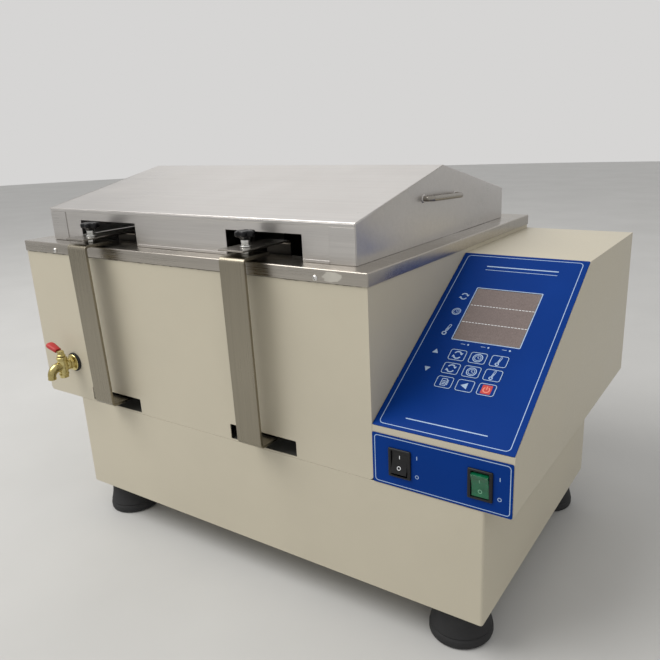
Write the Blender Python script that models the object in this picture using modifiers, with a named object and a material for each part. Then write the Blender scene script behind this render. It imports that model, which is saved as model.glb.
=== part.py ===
"""Shaking water bath for a biology laboratory, as an assembly of separate pieces.

A painted base box carries a painted upper casing with an insulated stainless tank and, at its right, a
control box with a slanted panel. A motor in the base turns a crank through a belt, the crank pin slides a
carriage plate between base and tank, and four flat-bar arms carry the carriage's motion outside the casing
and over the rim to the flask rack that hangs in the water. A loose gable lid covers the tank.

Lengths are in millimetres, measured from the casing corner: X to the right from the casing's left wall,
Y to the rear from its front wall, Z up from the seam between base and casing. The empty casing_corner turns
them into the object's own frame, whose origin is the middle of the footprint, on the ground.
"""

import math

import bmesh
import bpy
from mathutils import Matrix, Vector

MM = 0.001
GAP = 0.3

# Upper casing, control box and base
CASING_W = 550.4
BODY_W = 700.0
CASING_D = 452.9
CASING_TOP = 217.2
SHEET = 1.2
BOX_TOP = 199.5
BASE_LEFT = 67.6
BASE_RIGHT = 672.6
BASE_D = 372.0
BASE_H = 130.4
FOOT_H = 44.6
FOOT_INSET_X = 38.5
FOOT_INSET_Y = 36.8

# Stainless rim and tank
RIM_TOP = 218.5
RIM_SKIRT = 13.7
RIM_OVERHANG = 1.3
RIM_SHEET = 1.0
TANK_LEFT = 45.2
TANK_FRONT = 45.0
TANK_FLOOR = 44.0
TANK_CORNER_R = 12.0
DECK_Z = 22.5
HEATER_R = 4.5
HEATER_Z = 58.0
PROBE_R = 3.0
PROBE_Z = 64.0
TANK_TERMINALS = (
    (150.0, HEATER_Z, HEATER_R),
    (302.0, HEATER_Z, HEATER_R),
    (226.0, PROBE_Z, PROBE_R),
)

# Slanted control panel and switch strip
PANEL_Z = 63.3
PANEL_RUN = 228.5
PANEL_ANGLE = math.atan2(BOX_TOP - PANEL_Z, PANEL_RUN)
PANEL_W = BODY_W - CASING_W
PANEL_L = math.hypot(PANEL_RUN, BOX_TOP - PANEL_Z)
OVERLAY_THICK = 0.6
DISPLAY_X = (38.0, 112.8)
DISPLAY_S = (126.2, 206.3)
KEY_COLUMNS = {"left": 52.5, "middle": 75.3, "right": 98.2}
KEY_ROWS = {"upper": 105.0, "centre": 86.2, "lower": 67.5}
KEY_W = 18.7
KEY_L = 15.2
SWITCH_STRIP_H = 57.0
SWITCH_Z = 28.3
SWITCHES = {"heater": 582.5, "power": 667.8}
ROCKER_TILT = math.radians(9.0)
ROCKER_PIVOT_Y = 6.0

# Supply inlet and fuse on the control box's rear wall
INLET_X = 640.0
INLET_Z = 45.0
FUSE_X = 600.0

# Shaking drive and its carriage
ARM_X = {"left": 146.0, "right": 402.0}
ARM_LEAN = {"left": 8.0, "right": 2.5}
ARM_W = 34.5
ARM_THICK = 3.5
ARM_REACH = 25.0
ARM_LOW = 14.3
ARM_TOP = {"left": 224.5, "right": 227.2}
SLOT_W = 98.0
SLOT_Z = (2.0, 21.0)
HANGER_RISE = 7.2
HANGER_THICK = 1.8
HANGER_W = 34.0
CARRIAGE_Z = (11.0, 14.0)
CRANK_X = (ARM_X["left"] + ARM_X["right"]) / 2
CRANK_Y = CASING_D / 2
CRANK_THROW = 20.0
CRANK_PIN_R = 6.0
SHAFT_R = 7.5
BELT_THICK = 3.0
BELT_Z = (-42.0, -34.0)
CRANK_PITCH_R = 45.0
MOTOR_PITCH_R = 15.0
MOTOR_X = CRANK_X + 150.0

# Gable lid
LID_X = (35.6, 525.2)
LID_Y = (21.8, 412.8)
LID_BOTTOM = RIM_TOP + GAP
LID_EAVE = 260.9
LID_RIDGE = 304.5
LID_RIDGE_Y = 216.0
LID_SHEET = 1.0
LID_CUT_TOP = 247.0
LID_HANDLE_Y = (166.0, 250.0)
LID_HANDLE_Z = (270.0, 266.5)
LID_HANDLE_OUT = 10.0
LID_HANDLE_R = 3.2

# Drain tap on the front wall
TAP_X = 67.0
TAP_Z = 53.0
TAP_AXIS_Y = -19.5
TAP_TAIL_R = 6.4
SPOUT_Y = -38.0
SPOUT_R = 5.5

# How far the whole object reaches, which centres its frame
REACH_LEFT = -RIM_OVERHANG
REACH_FRONT = SPOUT_Y - SPOUT_R
REACH_REAR = CASING_D + ARM_REACH
GROUND = -BASE_H - FOOT_H

MATERIALS = {
    "beige_paint": ((0.52, 0.48, 0.38), 0.45, 0.0),
    "stainless": ((0.62, 0.60, 0.57), 0.32, 1.0),
    "dark_steel": ((0.30, 0.30, 0.31), 0.45, 1.0),
    "aluminium": ((0.70, 0.71, 0.72), 0.38, 1.0),
    "brass": ((0.72, 0.55, 0.22), 0.25, 1.0),
    "blue_film": ((0.01, 0.05, 0.24), 0.35, 0.0),
    "smoked_window": ((0.17, 0.13, 0.12), 0.2, 0.0),
    "black_plastic": ((0.02, 0.02, 0.022), 0.35, 0.0),
    "green_plastic": ((0.02, 0.30, 0.14), 0.25, 0.0),
    "red_plastic": ((0.42, 0.03, 0.03), 0.4, 0.0),
    "black_rubber": ((0.02, 0.02, 0.02), 0.8, 0.0),
    "mineral_wool": ((0.55, 0.50, 0.36), 0.95, 0.0),
    "circuit_board": ((0.03, 0.20, 0.09), 0.5, 0.0),
}

# Local frames for flat outlines: x and y lie in the outline's plane, z is the direction it is thickened
SIDE = Matrix(((0, 0, 1, 0), (1, 0, 0, 0), (0, 1, 0, 0), (0, 0, 0, 1)))
FRONT = Matrix(((1, 0, 0, 0), (0, 0, -1, 0), (0, 1, 0, 0), (0, 0, 0, 1)))
PANEL = Matrix.Translation((CASING_W * MM, 0, PANEL_Z * MM)) @ Matrix.Rotation(PANEL_ANGLE, 4, "X")
TOP = Matrix.Identity(4)


# ---------------------------------------------------------------- scene and helpers


def clear_scene():
    for old in list(bpy.data.objects):
        bpy.data.objects.remove(old, do_unlink=True)


def make_collection(name):
    collection = bpy.data.collections.new(name)
    bpy.context.scene.collection.children.link(collection)
    return collection


clear_scene()
PARTS = make_collection("water_bath")
CUTTERS = make_collection("cutters")


def empty(name, location, parent=None):
    """Empty at a point of the casing; a joint's empty lies on the joint's axis."""
    made = bpy.data.objects.new(name, None)
    made.empty_display_size = 0.02
    made.location = Vector(location) * MM
    made.parent = parent
    PARTS.objects.link(made)
    return made


CORNER = empty(
    "casing_corner",
    (-(REACH_LEFT + BODY_W) / 2, -(REACH_FRONT + REACH_REAR) / 2, -GROUND),
)


def paint(obj, name):
    """Gives the piece its Principled material, made on first use."""
    found = bpy.data.materials.get(name)
    if found is None:
        colour, roughness, metallic = MATERIALS[name]
        found = bpy.data.materials.new(name)
        found.use_nodes = True
        shader = found.node_tree.nodes["Principled BSDF"]
        shader.inputs["Base Color"].default_value = (*colour, 1.0)
        shader.inputs["Roughness"].default_value = roughness
        shader.inputs["Metallic"].default_value = metallic
        found.diffuse_color = (*colour, 1.0)
    obj.data.materials.clear()
    obj.data.materials.append(found)
    return obj


def add_mesh(name, bm, frame=TOP):
    """New piece from a bmesh in metres, carried into casing coordinates by the frame."""
    bm.transform(frame)
    mesh = bpy.data.meshes.new(name)
    bm.to_mesh(mesh)
    bm.free()
    made = bpy.data.objects.new(name, mesh)
    made.parent = CORNER
    PARTS.objects.link(made)
    return made


def ride(obj, joint):
    """Hangs the piece on a joint's empty and leaves it where it is."""
    obj.parent = joint
    obj.location = -joint.location
    return obj


def smooth(obj, angle=35.0):
    obj.data.shade_smooth()
    obj.data.set_sharp_from_angle(angle=math.radians(angle))
    return obj


def box(name, low, high, frame=TOP, radius=0.0, segments=2, round_top=False):
    """Box between two corners; a radius rounds all edges but those of its top face."""
    low = Vector(low) * MM
    high = Vector(high) * MM
    bm = bmesh.new()
    bmesh.ops.create_cube(bm, size=1.0)
    bmesh.ops.scale(bm, vec=high - low, verts=bm.verts)
    bmesh.ops.translate(bm, vec=(low + high) / 2, verts=bm.verts)
    if radius:
        edges = [e for e in bm.edges if round_top or min(v.co.z for v in e.verts) < high.z - 1e-6]
        bmesh.ops.bevel(
            bm, geom=edges, offset=radius * MM, segments=segments, profile=0.5, affect="EDGES"
        )
    return add_mesh(name, bm, frame)


def cylinder(name, radius, start, end, segments=24):
    """Cylinder between two points."""
    start = Vector(start) * MM
    end = Vector(end) * MM
    axis = end - start
    bm = bmesh.new()
    bmesh.ops.create_cone(
        bm,
        cap_ends=True,
        segments=segments,
        radius1=radius * MM,
        radius2=radius * MM,
        depth=axis.length,
    )
    turn = Vector((0, 0, 1)).rotation_difference(axis).to_matrix().to_4x4()
    made = add_mesh(name, bm, Matrix.Translation((start + end) / 2) @ turn)
    return smooth(made)


def mesh_of_curve(name, curve, frame=TOP):
    """Closed mesh piece from a filled or bevelled curve, its caps welded on."""
    source = bpy.data.objects.new(name + "_curve", curve)
    PARTS.objects.link(source)
    bpy.context.view_layer.update()
    graph = bpy.context.evaluated_depsgraph_get()
    mesh = bpy.data.meshes.new_from_object(source.evaluated_get(graph))
    bm = bmesh.new()
    bm.from_mesh(mesh)
    bmesh.ops.remove_doubles(bm, verts=bm.verts, dist=1e-6)
    bpy.data.meshes.remove(mesh)
    bpy.data.objects.remove(source)
    return add_mesh(name, bm, frame)


def add_spline(curve, points, closed):
    spline = curve.splines.new("POLY")
    spline.points.add(len(points) - 1)
    for spot, point in zip(spline.points, points):
        spot.co = (*(Vector(point).to_3d() * MM), 1.0)
    spline.use_cyclic_u = closed


def plate(name, loops, low, high, frame=TOP):
    """Flat outline with holes, thickened from local height low to high."""
    curve = bpy.data.curves.new(name, "CURVE")
    curve.dimensions = "2D"
    curve.fill_mode = "BOTH"
    curve.extrude = (high - low) / 2 * MM
    for loop in loops:
        add_spline(curve, loop, closed=True)
    lift = Matrix.Translation((0, 0, (low + high) / 2 * MM))
    return mesh_of_curve(name, curve, frame @ lift)


def tube(name, points, radius, resolution=3):
    """Round bar along a path."""
    curve = bpy.data.curves.new(name, "CURVE")
    curve.dimensions = "3D"
    curve.bevel_depth = radius * MM
    curve.bevel_resolution = resolution
    curve.use_fill_caps = True
    add_spline(curve, points, closed=False)
    return smooth(mesh_of_curve(name, curve))


def turned(name, profile, centre, steps=24, ring=False):
    """Turned piece about a vertical axis; the profile's (radius, height) runs down its outer side."""
    bm = bmesh.new()
    spots = [bm.verts.new((r * MM, 0, z * MM)) for r, z in profile]
    for a, b in zip(spots, spots[1:]):
        bm.edges.new((a, b))
    if ring:
        bm.edges.new((spots[-1], spots[0]))
    made = add_mesh(name, bm)
    made.location = (centre[0] * MM, centre[1] * MM, 0)
    screw = made.modifiers.new("turn", "SCREW")
    screw.steps = steps
    screw.render_steps = steps
    screw.use_merge_vertices = True
    screw.merge_threshold = 0.00001
    screw.use_smooth_shade = False
    return made


def bent_strip(name, path, thickness, low_x, high_x, lean=0.0):
    """Flat bar bent along a (Y, Z) centre path, as wide as low_x to high_x at its top.

    Its foot stands farther right by lean.
    """
    foot = min(z for y, z in path)
    top = max(z for y, z in path)
    bm = bmesh.new()
    spots = []
    for y, z in path:
        x = low_x + lean * (top - z) / (top - foot)
        spots.append(bm.verts.new((x * MM, y * MM, z * MM)))
    edges = [bm.edges.new(pair) for pair in zip(spots, spots[1:])]
    grown = bmesh.ops.extrude_edge_only(bm, edges=edges)
    new_spots = [g for g in grown["geom"] if isinstance(g, bmesh.types.BMVert)]
    bmesh.ops.translate(bm, vec=((high_x - low_x) * MM, 0, 0), verts=new_spots)
    made = add_mesh(name, bm)
    solidify = made.modifiers.new("thickness", "SOLIDIFY")
    solidify.thickness = thickness * MM
    solidify.offset = 0.0
    solidify.use_even_offset = True
    return made


def combine(obj, other, operation):
    """Boolean with another shape, which then serves only as a guide."""
    modifier = obj.modifiers.new(operation.lower(), "BOOLEAN")
    modifier.object = other
    modifier.operation = operation
    modifier.solver = "EXACT"
    other.hide_render = True
    other.display_type = "WIRE"
    if other.name not in CUTTERS.objects:
        CUTTERS.objects.link(other)
        PARTS.objects.unlink(other)
    return obj


def cut(obj, *others):
    for other in others:
        combine(obj, other, "DIFFERENCE")
    return obj


def join(obj, *others):
    for other in others:
        combine(obj, other, "UNION")
    return obj


def rounded_rectangle(low, high, radius, steps=3):
    """Rectangle outline with round corners, from its two corner points."""
    corners = (
        (high[0] - radius, high[1] - radius, 0),
        (low[0] + radius, high[1] - radius, 90),
        (low[0] + radius, low[1] + radius, 180),
        (high[0] - radius, low[1] + radius, 270),
    )
    outline = []
    for x, y, start in corners:
        for i in range(steps + 1):
            turn = math.radians(start + 90 * i / steps)
            outline.append((x + radius * math.cos(turn), y + radius * math.sin(turn)))
    return outline


def filleted(points, radius, steps=3):
    """Open path whose inner corners are arcs of the radius."""
    points = [Vector(p) for p in points]
    path = [points[0]]
    for before, corner, after in zip(points, points[1:], points[2:]):
        back = (before - corner).normalized()
        on = (after - corner).normalized()
        half = back.angle(on) / 2
        middle = corner + (back + on).normalized() * (radius / math.sin(half))
        reach = radius / math.tan(half)
        first = corner + back * reach - middle
        last = corner + on * reach - middle
        for i in range(steps + 1):
            mixed = first * (1 - i / steps) + last * (i / steps)
            path.append(middle + mixed.normalized() * radius)
    path.append(points[-1])
    return path


def rear(y):
    """The same place measured from the rear wall."""
    return CASING_D - y


# ---------------------------------------------------------------- base


def make_base():
    shell = box("base_shell", (BASE_LEFT, 0, -BASE_H), (BASE_RIGHT, BASE_D, 0))
    inside = box(
        "base_inside",
        (BASE_LEFT + SHEET, SHEET, -BASE_H - 5),
        (BASE_RIGHT - SHEET, BASE_D - SHEET, 5),
    )
    paint(cut(shell, inside), "beige_paint")

    inset = SHEET + GAP
    outline = [
        (BASE_LEFT + inset, inset),
        (BASE_RIGHT - inset, inset),
        (BASE_RIGHT - inset, BASE_D - inset),
        (BASE_LEFT + inset, BASE_D - inset),
    ]
    vent_x = [BASE_LEFT + 180 + 14 * i for i in range(8)]
    vents = [rounded_rectangle((x, 235), (x + 5, 300), 2.4, 2) for x in vent_x]
    base_plate = plate("base_plate", [outline, *vents], -BASE_H, -BASE_H + 1.5)
    paint(base_plate, "beige_paint")


def make_feet():
    """Rubber feet with a slightly waisted body and a wide bead at the ground."""
    top = -BASE_H - GAP
    profile = [
        (0, top),
        (29.5, top),
        (30.5, top - 19),
        (33.5, top - 31),
        (34.6, top - 35),
        (34.6, GROUND + 3),
        (32.5, GROUND),
        (0, GROUND),
    ]
    spots = {
        "foot_front_left": (BASE_LEFT + FOOT_INSET_X, FOOT_INSET_Y),
        "foot_front_right": (BASE_RIGHT - FOOT_INSET_X, FOOT_INSET_Y),
        "foot_rear_left": (BASE_LEFT + FOOT_INSET_X, BASE_D - FOOT_INSET_Y),
        "foot_rear_right": (BASE_RIGHT - FOOT_INSET_X, BASE_D - FOOT_INSET_Y),
    }
    for name, spot in spots.items():
        paint(turned(name, profile, spot), "black_rubber")


# ---------------------------------------------------------------- casing, tank and rim


def make_casing():
    casing = box("tank_casing", (0, 0, GAP), (CASING_W, CASING_D, CASING_TOP), radius=4.0)
    inside = box(
        "casing_inside",
        (SHEET, SHEET, GAP + SHEET),
        (CASING_W - SHEET, CASING_D - SHEET, CASING_TOP + 10),
        radius=4.0 - SHEET,
    )
    cut(casing, inside)
    for side, x in ARM_X.items():
        slot = box(
            f"slot_{side}",
            (x - SLOT_W / 2, -5, SLOT_Z[0]),
            (x + SLOT_W / 2, CASING_D + 5, SLOT_Z[1]),
        )
        cut(casing, slot)
    shaft_hole = cylinder("shaft_hole", 9.0, (CRANK_X, CRANK_Y, -5), (CRANK_X, CRANK_Y, 5))
    tap_hole = cylinder("tap_hole", TAP_TAIL_R + GAP, (TAP_X, -5, TAP_Z), (TAP_X, 55, TAP_Z))
    cut(casing, shaft_hole, tap_hole)
    paint(casing, "beige_paint")

    # Deck that carries the tank over the carriage
    leg = SHEET + 4.0
    deck_path = [
        (leg, GAP + SHEET + GAP),
        (leg, DECK_Z + 0.75),
        (CASING_W - leg, DECK_Z + 0.75),
        (CASING_W - leg, GAP + SHEET + GAP),
    ]
    deck = bent_strip("tank_deck", deck_path, 1.5, -(CASING_D - 5), -5)
    deck.data.transform(Matrix.Rotation(math.radians(-90), 4, "Z"))
    paint(deck, "dark_steel")

    wool = box("insulation", (3.5, 3.5, DECK_Z + 1.8), (CASING_W - 3.4, CASING_D - 3.5, 214))
    tank_space = box(
        "tank_space",
        (TANK_LEFT - GAP, TANK_FRONT - GAP, TANK_FLOOR - GAP),
        (CASING_W - TANK_LEFT + GAP, rear(TANK_FRONT) + GAP, 230),
    )
    terminal_space = box("terminal_space", (480, 135, TANK_FLOOR), (CASING_W - 10, 318, 95))
    paint(cut(wool, tank_space, terminal_space, tap_hole), "mineral_wool")


def make_tank():
    right = CASING_W - TANK_LEFT
    back = rear(TANK_FRONT)
    tank = box(
        "inner_tank",
        (TANK_LEFT, TANK_FRONT, TANK_FLOOR),
        (right, back, CASING_TOP),
        radius=TANK_CORNER_R,
        segments=4,
    )
    flange = box(
        "tank_flange",
        (TANK_LEFT - 12, TANK_FRONT - 12, CASING_TOP - 1),
        (right + 12, back + 12, CASING_TOP),
    )
    inside = box(
        "tank_inside",
        (TANK_LEFT + 1, TANK_FRONT + 1, TANK_FLOOR + 1),
        (right - 1, back - 1, CASING_TOP + 10),
        radius=TANK_CORNER_R - 1,
        segments=4,
    )
    drain = cylinder("drain_hole", TAP_TAIL_R + GAP, (TAP_X, 30, TAP_Z), (TAP_X, 55, TAP_Z))
    holes = [
        cylinder(f"terminal_hole_{i}", radius + GAP, (480, y, z), (520, y, z), 16)
        for i, (y, z, radius) in enumerate(TANK_TERMINALS)
    ]
    join(tank, flange)
    paint(cut(tank, inside, drain, *holes), "stainless")


def make_heater():
    front_y, rear_y = TANK_TERMINALS[0][0], TANK_TERMINALS[1][0]
    corners = [
        (533, front_y, HEATER_Z),
        (110, front_y, HEATER_Z),
        (110, rear_y, HEATER_Z),
        (533, rear_y, HEATER_Z),
    ]
    heater = tube("heater", filleted(corners, 40, 6), HEATER_R, 2)
    paint(heater, "stainless")
    probe_y = TANK_TERMINALS[2][0]
    probe = cylinder("temperature_probe", PROBE_R, (533, probe_y, PROBE_Z), (430, probe_y, PROBE_Z), 16)
    paint(probe, "stainless")


def make_rim():
    """Folded cap: flat top, outer skirt over the casing and an inner lip into the tank."""
    lip_x = TANK_LEFT + 1 + GAP
    lip_y = TANK_FRONT + 1 + GAP
    rim = box(
        "rim_cap",
        (-RIM_OVERHANG, -RIM_OVERHANG, RIM_TOP - RIM_SKIRT),
        (CASING_W + RIM_OVERHANG, CASING_D + RIM_OVERHANG, RIM_TOP),
    )
    under = box(
        "rim_under",
        (-GAP, -GAP, RIM_TOP - RIM_SKIRT - 5),
        (CASING_W + GAP, CASING_D + GAP, RIM_TOP - RIM_SHEET),
    )
    lip_outline = rounded_rectangle(
        (lip_x, lip_y), (CASING_W - lip_x, rear(lip_y)), TANK_CORNER_R - 1 - GAP, 4
    )
    mouth_outline = rounded_rectangle(
        (lip_x + 1, lip_y + 1), (CASING_W - lip_x - 1, rear(lip_y + 1)), TANK_CORNER_R - 2 - GAP, 4
    )
    lip = plate("rim_lip", [lip_outline], RIM_TOP - 6, RIM_TOP - 0.5)
    mouth = plate("rim_mouth", [mouth_outline], RIM_TOP - 30, RIM_TOP + 5)
    cut(rim, under)
    join(rim, lip)
    paint(cut(rim, mouth), "stainless")


# ---------------------------------------------------------------- control box and its panel


def make_control_box():
    outline = [
        (0, GAP),
        (0, PANEL_Z),
        (PANEL_RUN, BOX_TOP),
        (CASING_D, BOX_TOP),
        (CASING_D, GAP),
    ]
    shell = open_shell("control_box", outline, CASING_W + GAP, BODY_W, SHEET)
    window = box("window_hole", (DISPLAY_X[0], DISPLAY_S[0], -5), (DISPLAY_X[1], DISPLAY_S[1], 5), PANEL)
    keys = box("keypad_hole", (41.0, 57.5, -5), (110.0, 115.0, 5), PANEL)
    cut(shell, window, keys)
    for name, x in SWITCHES.items():
        hole = box(
            f"{name}_switch_hole",
            (x - 11.2, -5, SWITCH_Z - 14.8),
            (x + 11.2, 5, SWITCH_Z + 14.8),
        )
        cut(shell, hole)
    inlet = box("inlet_hole", (INLET_X - 14, 440, INLET_Z - 10), (INLET_X + 14, 470, INLET_Z + 10))
    fuse = cylinder("fuse_hole", 6.5, (FUSE_X, 440, INLET_Z), (FUSE_X, 470, INLET_Z), 16)
    paint(cut(shell, inlet, fuse), "beige_paint")


def open_shell(name, outline, left, right, thickness):
    """Sheet-metal shell over a (Y, Z) outline, closed at its right end and open at its left."""
    bm = bmesh.new()
    spots = [bm.verts.new((right * MM, y * MM, z * MM)) for y, z in outline]
    end = bm.faces.new(spots)
    grown = bmesh.ops.extrude_face_region(bm, geom=[end])
    new_spots = [g for g in grown["geom"] if isinstance(g, bmesh.types.BMVert)]
    bmesh.ops.translate(bm, vec=((left - right) * MM, 0, 0), verts=new_spots)
    far_end = [g for g in grown["geom"] if isinstance(g, bmesh.types.BMFace)]
    bmesh.ops.delete(bm, geom=far_end, context="FACES_ONLY")
    bmesh.ops.recalc_face_normals(bm, faces=bm.faces)
    made = add_mesh(name, bm)
    solidify = made.modifiers.new("sheet", "SOLIDIFY")
    solidify.thickness = thickness * MM
    solidify.offset = -1.0
    solidify.use_even_offset = True
    return made


def make_panel():
    border = 1.3
    outline = rounded_rectangle((border, border), (PANEL_W - border, PANEL_L - border), 7, 4)
    window = rounded_rectangle((DISPLAY_X[0], DISPLAY_S[0]), (DISPLAY_X[1], DISPLAY_S[1]), 0.6, 1)
    key_holes = [
        rounded_rectangle(
            (x - KEY_W / 2 - GAP, s - KEY_L / 2 - GAP),
            (x + KEY_W / 2 + GAP, s + KEY_L / 2 + GAP),
            3.2,
        )
        for x in KEY_COLUMNS.values()
        for s in KEY_ROWS.values()
    ]
    overlay = plate("panel_overlay", [outline, window, *key_holes], GAP, GAP + OVERLAY_THICK, PANEL)
    paint(overlay, "blue_film")

    glass = box(
        "display_window",
        (DISPLAY_X[0] + GAP, DISPLAY_S[0] + GAP, -1.4),
        (DISPLAY_X[1] - GAP, DISPLAY_S[1] - GAP, 0.75),
        PANEL,
    )
    paint(glass, "smoked_window")

    module = box(
        "display_module",
        (DISPLAY_X[0] + 3, DISPLAY_S[0] + 3, -11.7),
        (DISPLAY_X[1] - 3, DISPLAY_S[1] - 3, -1.7),
        PANEL,
    )
    paint(module, "black_plastic")

    board = box("control_board", (18, 48, -13.6), (132, 214, -12.0), PANEL)
    for i, (x, s) in enumerate(((24, 53), (126, 53), (24, 209), (126, 209))):
        pillar = cylinder(f"board_pillar_{i}", 3.0, (x, s, -13), (x, s, -1.5), 12)
        pillar.data.transform(PANEL)
        join(board, pillar)
    paint(board, "circuit_board")


def make_keys():
    for row, s in KEY_ROWS.items():
        for column, x in KEY_COLUMNS.items():
            joint_at = PANEL @ (Vector((x, s, 0.9)) * MM) / MM
            joint = empty(f"key_{row}_{column}_joint", joint_at, CORNER)
            outline = rounded_rectangle(
                (x - KEY_W / 2, s - KEY_L / 2), (x + KEY_W / 2, s + KEY_L / 2), 3.0
            )
            key = plate(f"key_{row}_{column}", [outline], -0.6, 1.0, PANEL)
            paint(ride(key, joint), "blue_film")


def make_switches():
    """Blue strip with two rocker switches: the heater's is pressed at its top, the power's at its foot."""
    low = (CASING_W + 1.3, 1.0)
    high = (BODY_W - 1.3, SWITCH_STRIP_H - 0.5)
    holes = [
        [
            (x - 11.2, SWITCH_Z - 14.8),
            (x + 11.2, SWITCH_Z - 14.8),
            (x + 11.2, SWITCH_Z + 14.8),
            (x - 11.2, SWITCH_Z + 14.8),
        ]
        for x in SWITCHES.values()
    ]
    outline = rounded_rectangle(low, high, 4, 3)
    strip = plate("switch_overlay", [outline, *holes], GAP, GAP + 0.5, FRONT)
    paint(strip, "blue_film")

    for name, x in SWITCHES.items():
        flange = box(
            f"{name}_switch_bezel",
            (x - 12.6, -2.9, SWITCH_Z - 15.7),
            (x + 12.6, -1.1, SWITCH_Z + 15.7),
        )
        body = box(f"{name}_body", (x - 10.9, -2, SWITCH_Z - 14.5), (x + 10.9, 24, SWITCH_Z + 14.5))
        well = box(f"{name}_well", (x - 9.2, -5, SWITCH_Z - 13.5), (x + 9.2, 16, SWITCH_Z + 13.5))
        join(flange, body)
        paint(cut(flange, well), "black_plastic")

        joint = empty(f"{name}_switch_joint", (x, ROCKER_PIVOT_Y, SWITCH_Z), CORNER)
        tilt = ROCKER_TILT if name == "power" else -ROCKER_TILT
        side = [
            (-9.4, 11.7),
            (-7.9, 0),
            (-9.4, -11.7),
            (-4, -12.4),
            (2, -6),
            (4, 0),
            (2, 6),
            (-4, 12.4),
        ]
        place = Matrix.Translation(Vector((x, ROCKER_PIVOT_Y, SWITCH_Z)) * MM)
        rocker = plate(
            f"{name}_switch_rocker", [side], -8.8, 8.8, place @ Matrix.Rotation(tilt, 4, "X") @ SIDE
        )
        paint(ride(rocker, joint), "green_plastic" if name == "power" else "black_plastic")


def make_rear_sockets():
    wall = CASING_D + GAP
    inlet = box("power_inlet", (INLET_X - 25, wall, INLET_Z - 12), (INLET_X + 25, wall + 3, INLET_Z + 12))
    body = box(
        "inlet_body",
        (INLET_X - 13.7, wall - 24, INLET_Z - 9.7),
        (INLET_X + 13.7, wall + 1, INLET_Z + 9.7),
    )
    socket = box(
        "inlet_socket",
        (INLET_X - 12, wall - 16, INLET_Z - 8),
        (INLET_X + 12, wall + 10, INLET_Z + 8),
    )
    join(inlet, body)
    paint(cut(inlet, socket), "black_plastic")

    holder = cylinder("fuse_holder", 8.5, (FUSE_X, wall, INLET_Z), (FUSE_X, wall + 8, INLET_Z))
    barrel = cylinder("fuse_barrel", 6.2, (FUSE_X, wall - 28, INLET_Z), (FUSE_X, wall + 2, INLET_Z))
    paint(join(holder, barrel), "black_plastic")


# ---------------------------------------------------------------- drain tap


def make_tap():
    washer = cylinder("tap_washer", 13.0, (TAP_X, -2.3, TAP_Z), (TAP_X, -GAP, TAP_Z))
    bore = cylinder("washer_bore", TAP_TAIL_R + GAP, (TAP_X, -9, TAP_Z), (TAP_X, 9, TAP_Z))
    paint(cut(washer, bore), "black_rubber")

    body = cylinder("tap_body", 7.5, (TAP_X, TAP_AXIS_Y, 40), (TAP_X, TAP_AXIS_Y, 66))
    flange = cylinder("tap_flange", 11.2, (TAP_X, -5.2, TAP_Z), (TAP_X, -2.6, TAP_Z))
    neck = cylinder("tap_neck", 6.0, (TAP_X, TAP_AXIS_Y, TAP_Z), (TAP_X, -4, TAP_Z), 20)
    tail = cylinder("tap_tail", TAP_TAIL_R, (TAP_X, -4.4, TAP_Z), (TAP_X, 51, TAP_Z), 20)
    bottom_nut = cylinder(
        "tap_nut", 6.3, (TAP_X, TAP_AXIS_Y, 36.5), (TAP_X, TAP_AXIS_Y, 41), segments=6
    )
    path = [(TAP_X, TAP_AXIS_Y, 54.5), (TAP_X, SPOUT_Y, 53.5), (TAP_X, SPOUT_Y, 42)]
    spout = tube("tap_spout", filleted(path, 9.5, 5), 5.2, 3)
    mouth = cylinder("tap_mouth", SPOUT_R, (TAP_X, SPOUT_Y, 38.8), (TAP_X, SPOUT_Y, 43.5))
    join(body, flange, neck, tail, bottom_nut, spout, mouth)
    paint(body, "brass")

    joint = empty("tap_joint", (TAP_X, TAP_AXIS_Y, 70), CORNER)
    lever_at = Matrix.Translation(Vector((TAP_X, TAP_AXIS_Y, 72)) * MM)
    lever_frame = lever_at @ Matrix.Rotation(math.radians(20), 4, "Y")
    lever = cylinder("tap_lever", 4.2, (TAP_X, TAP_AXIS_Y, 66 + GAP), (TAP_X, TAP_AXIS_Y, 75))
    bar = box("lever_bar", (-17, -3.6, -1.25), (0, 3.6, 1.25), lever_frame)
    paint(ride(join(lever, bar), joint), "brass")
    ride(bar, joint)

    sleeve = box(
        "tap_sleeve", (-25.8, -6.2, -3.6), (-5.6, 6.2, 3.6), lever_frame, radius=2.6, round_top=True
    )
    socket = box("sleeve_socket", (-17.4, -4.0, -1.65), (5, 4.0, 1.65), lever_frame)
    paint(ride(cut(sleeve, socket), joint), "red_plastic")
    ride(socket, joint)


# ---------------------------------------------------------------- shaking drive


def make_guides():
    for name, mirrored in (("guide_rail_front", False), ("guide_rail_rear", True)):
        outline = [(36, 1.8), (62, 1.8), (62, 10.7), (44.6, 10.7), (44.6, 13.7), (36, 13.7)]
        if mirrored:
            outline = [(rear(y), z) for y, z in outline]
        rail = plate(name, [outline], 60, 490, SIDE)
        paint(rail, "aluminium")


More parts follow.
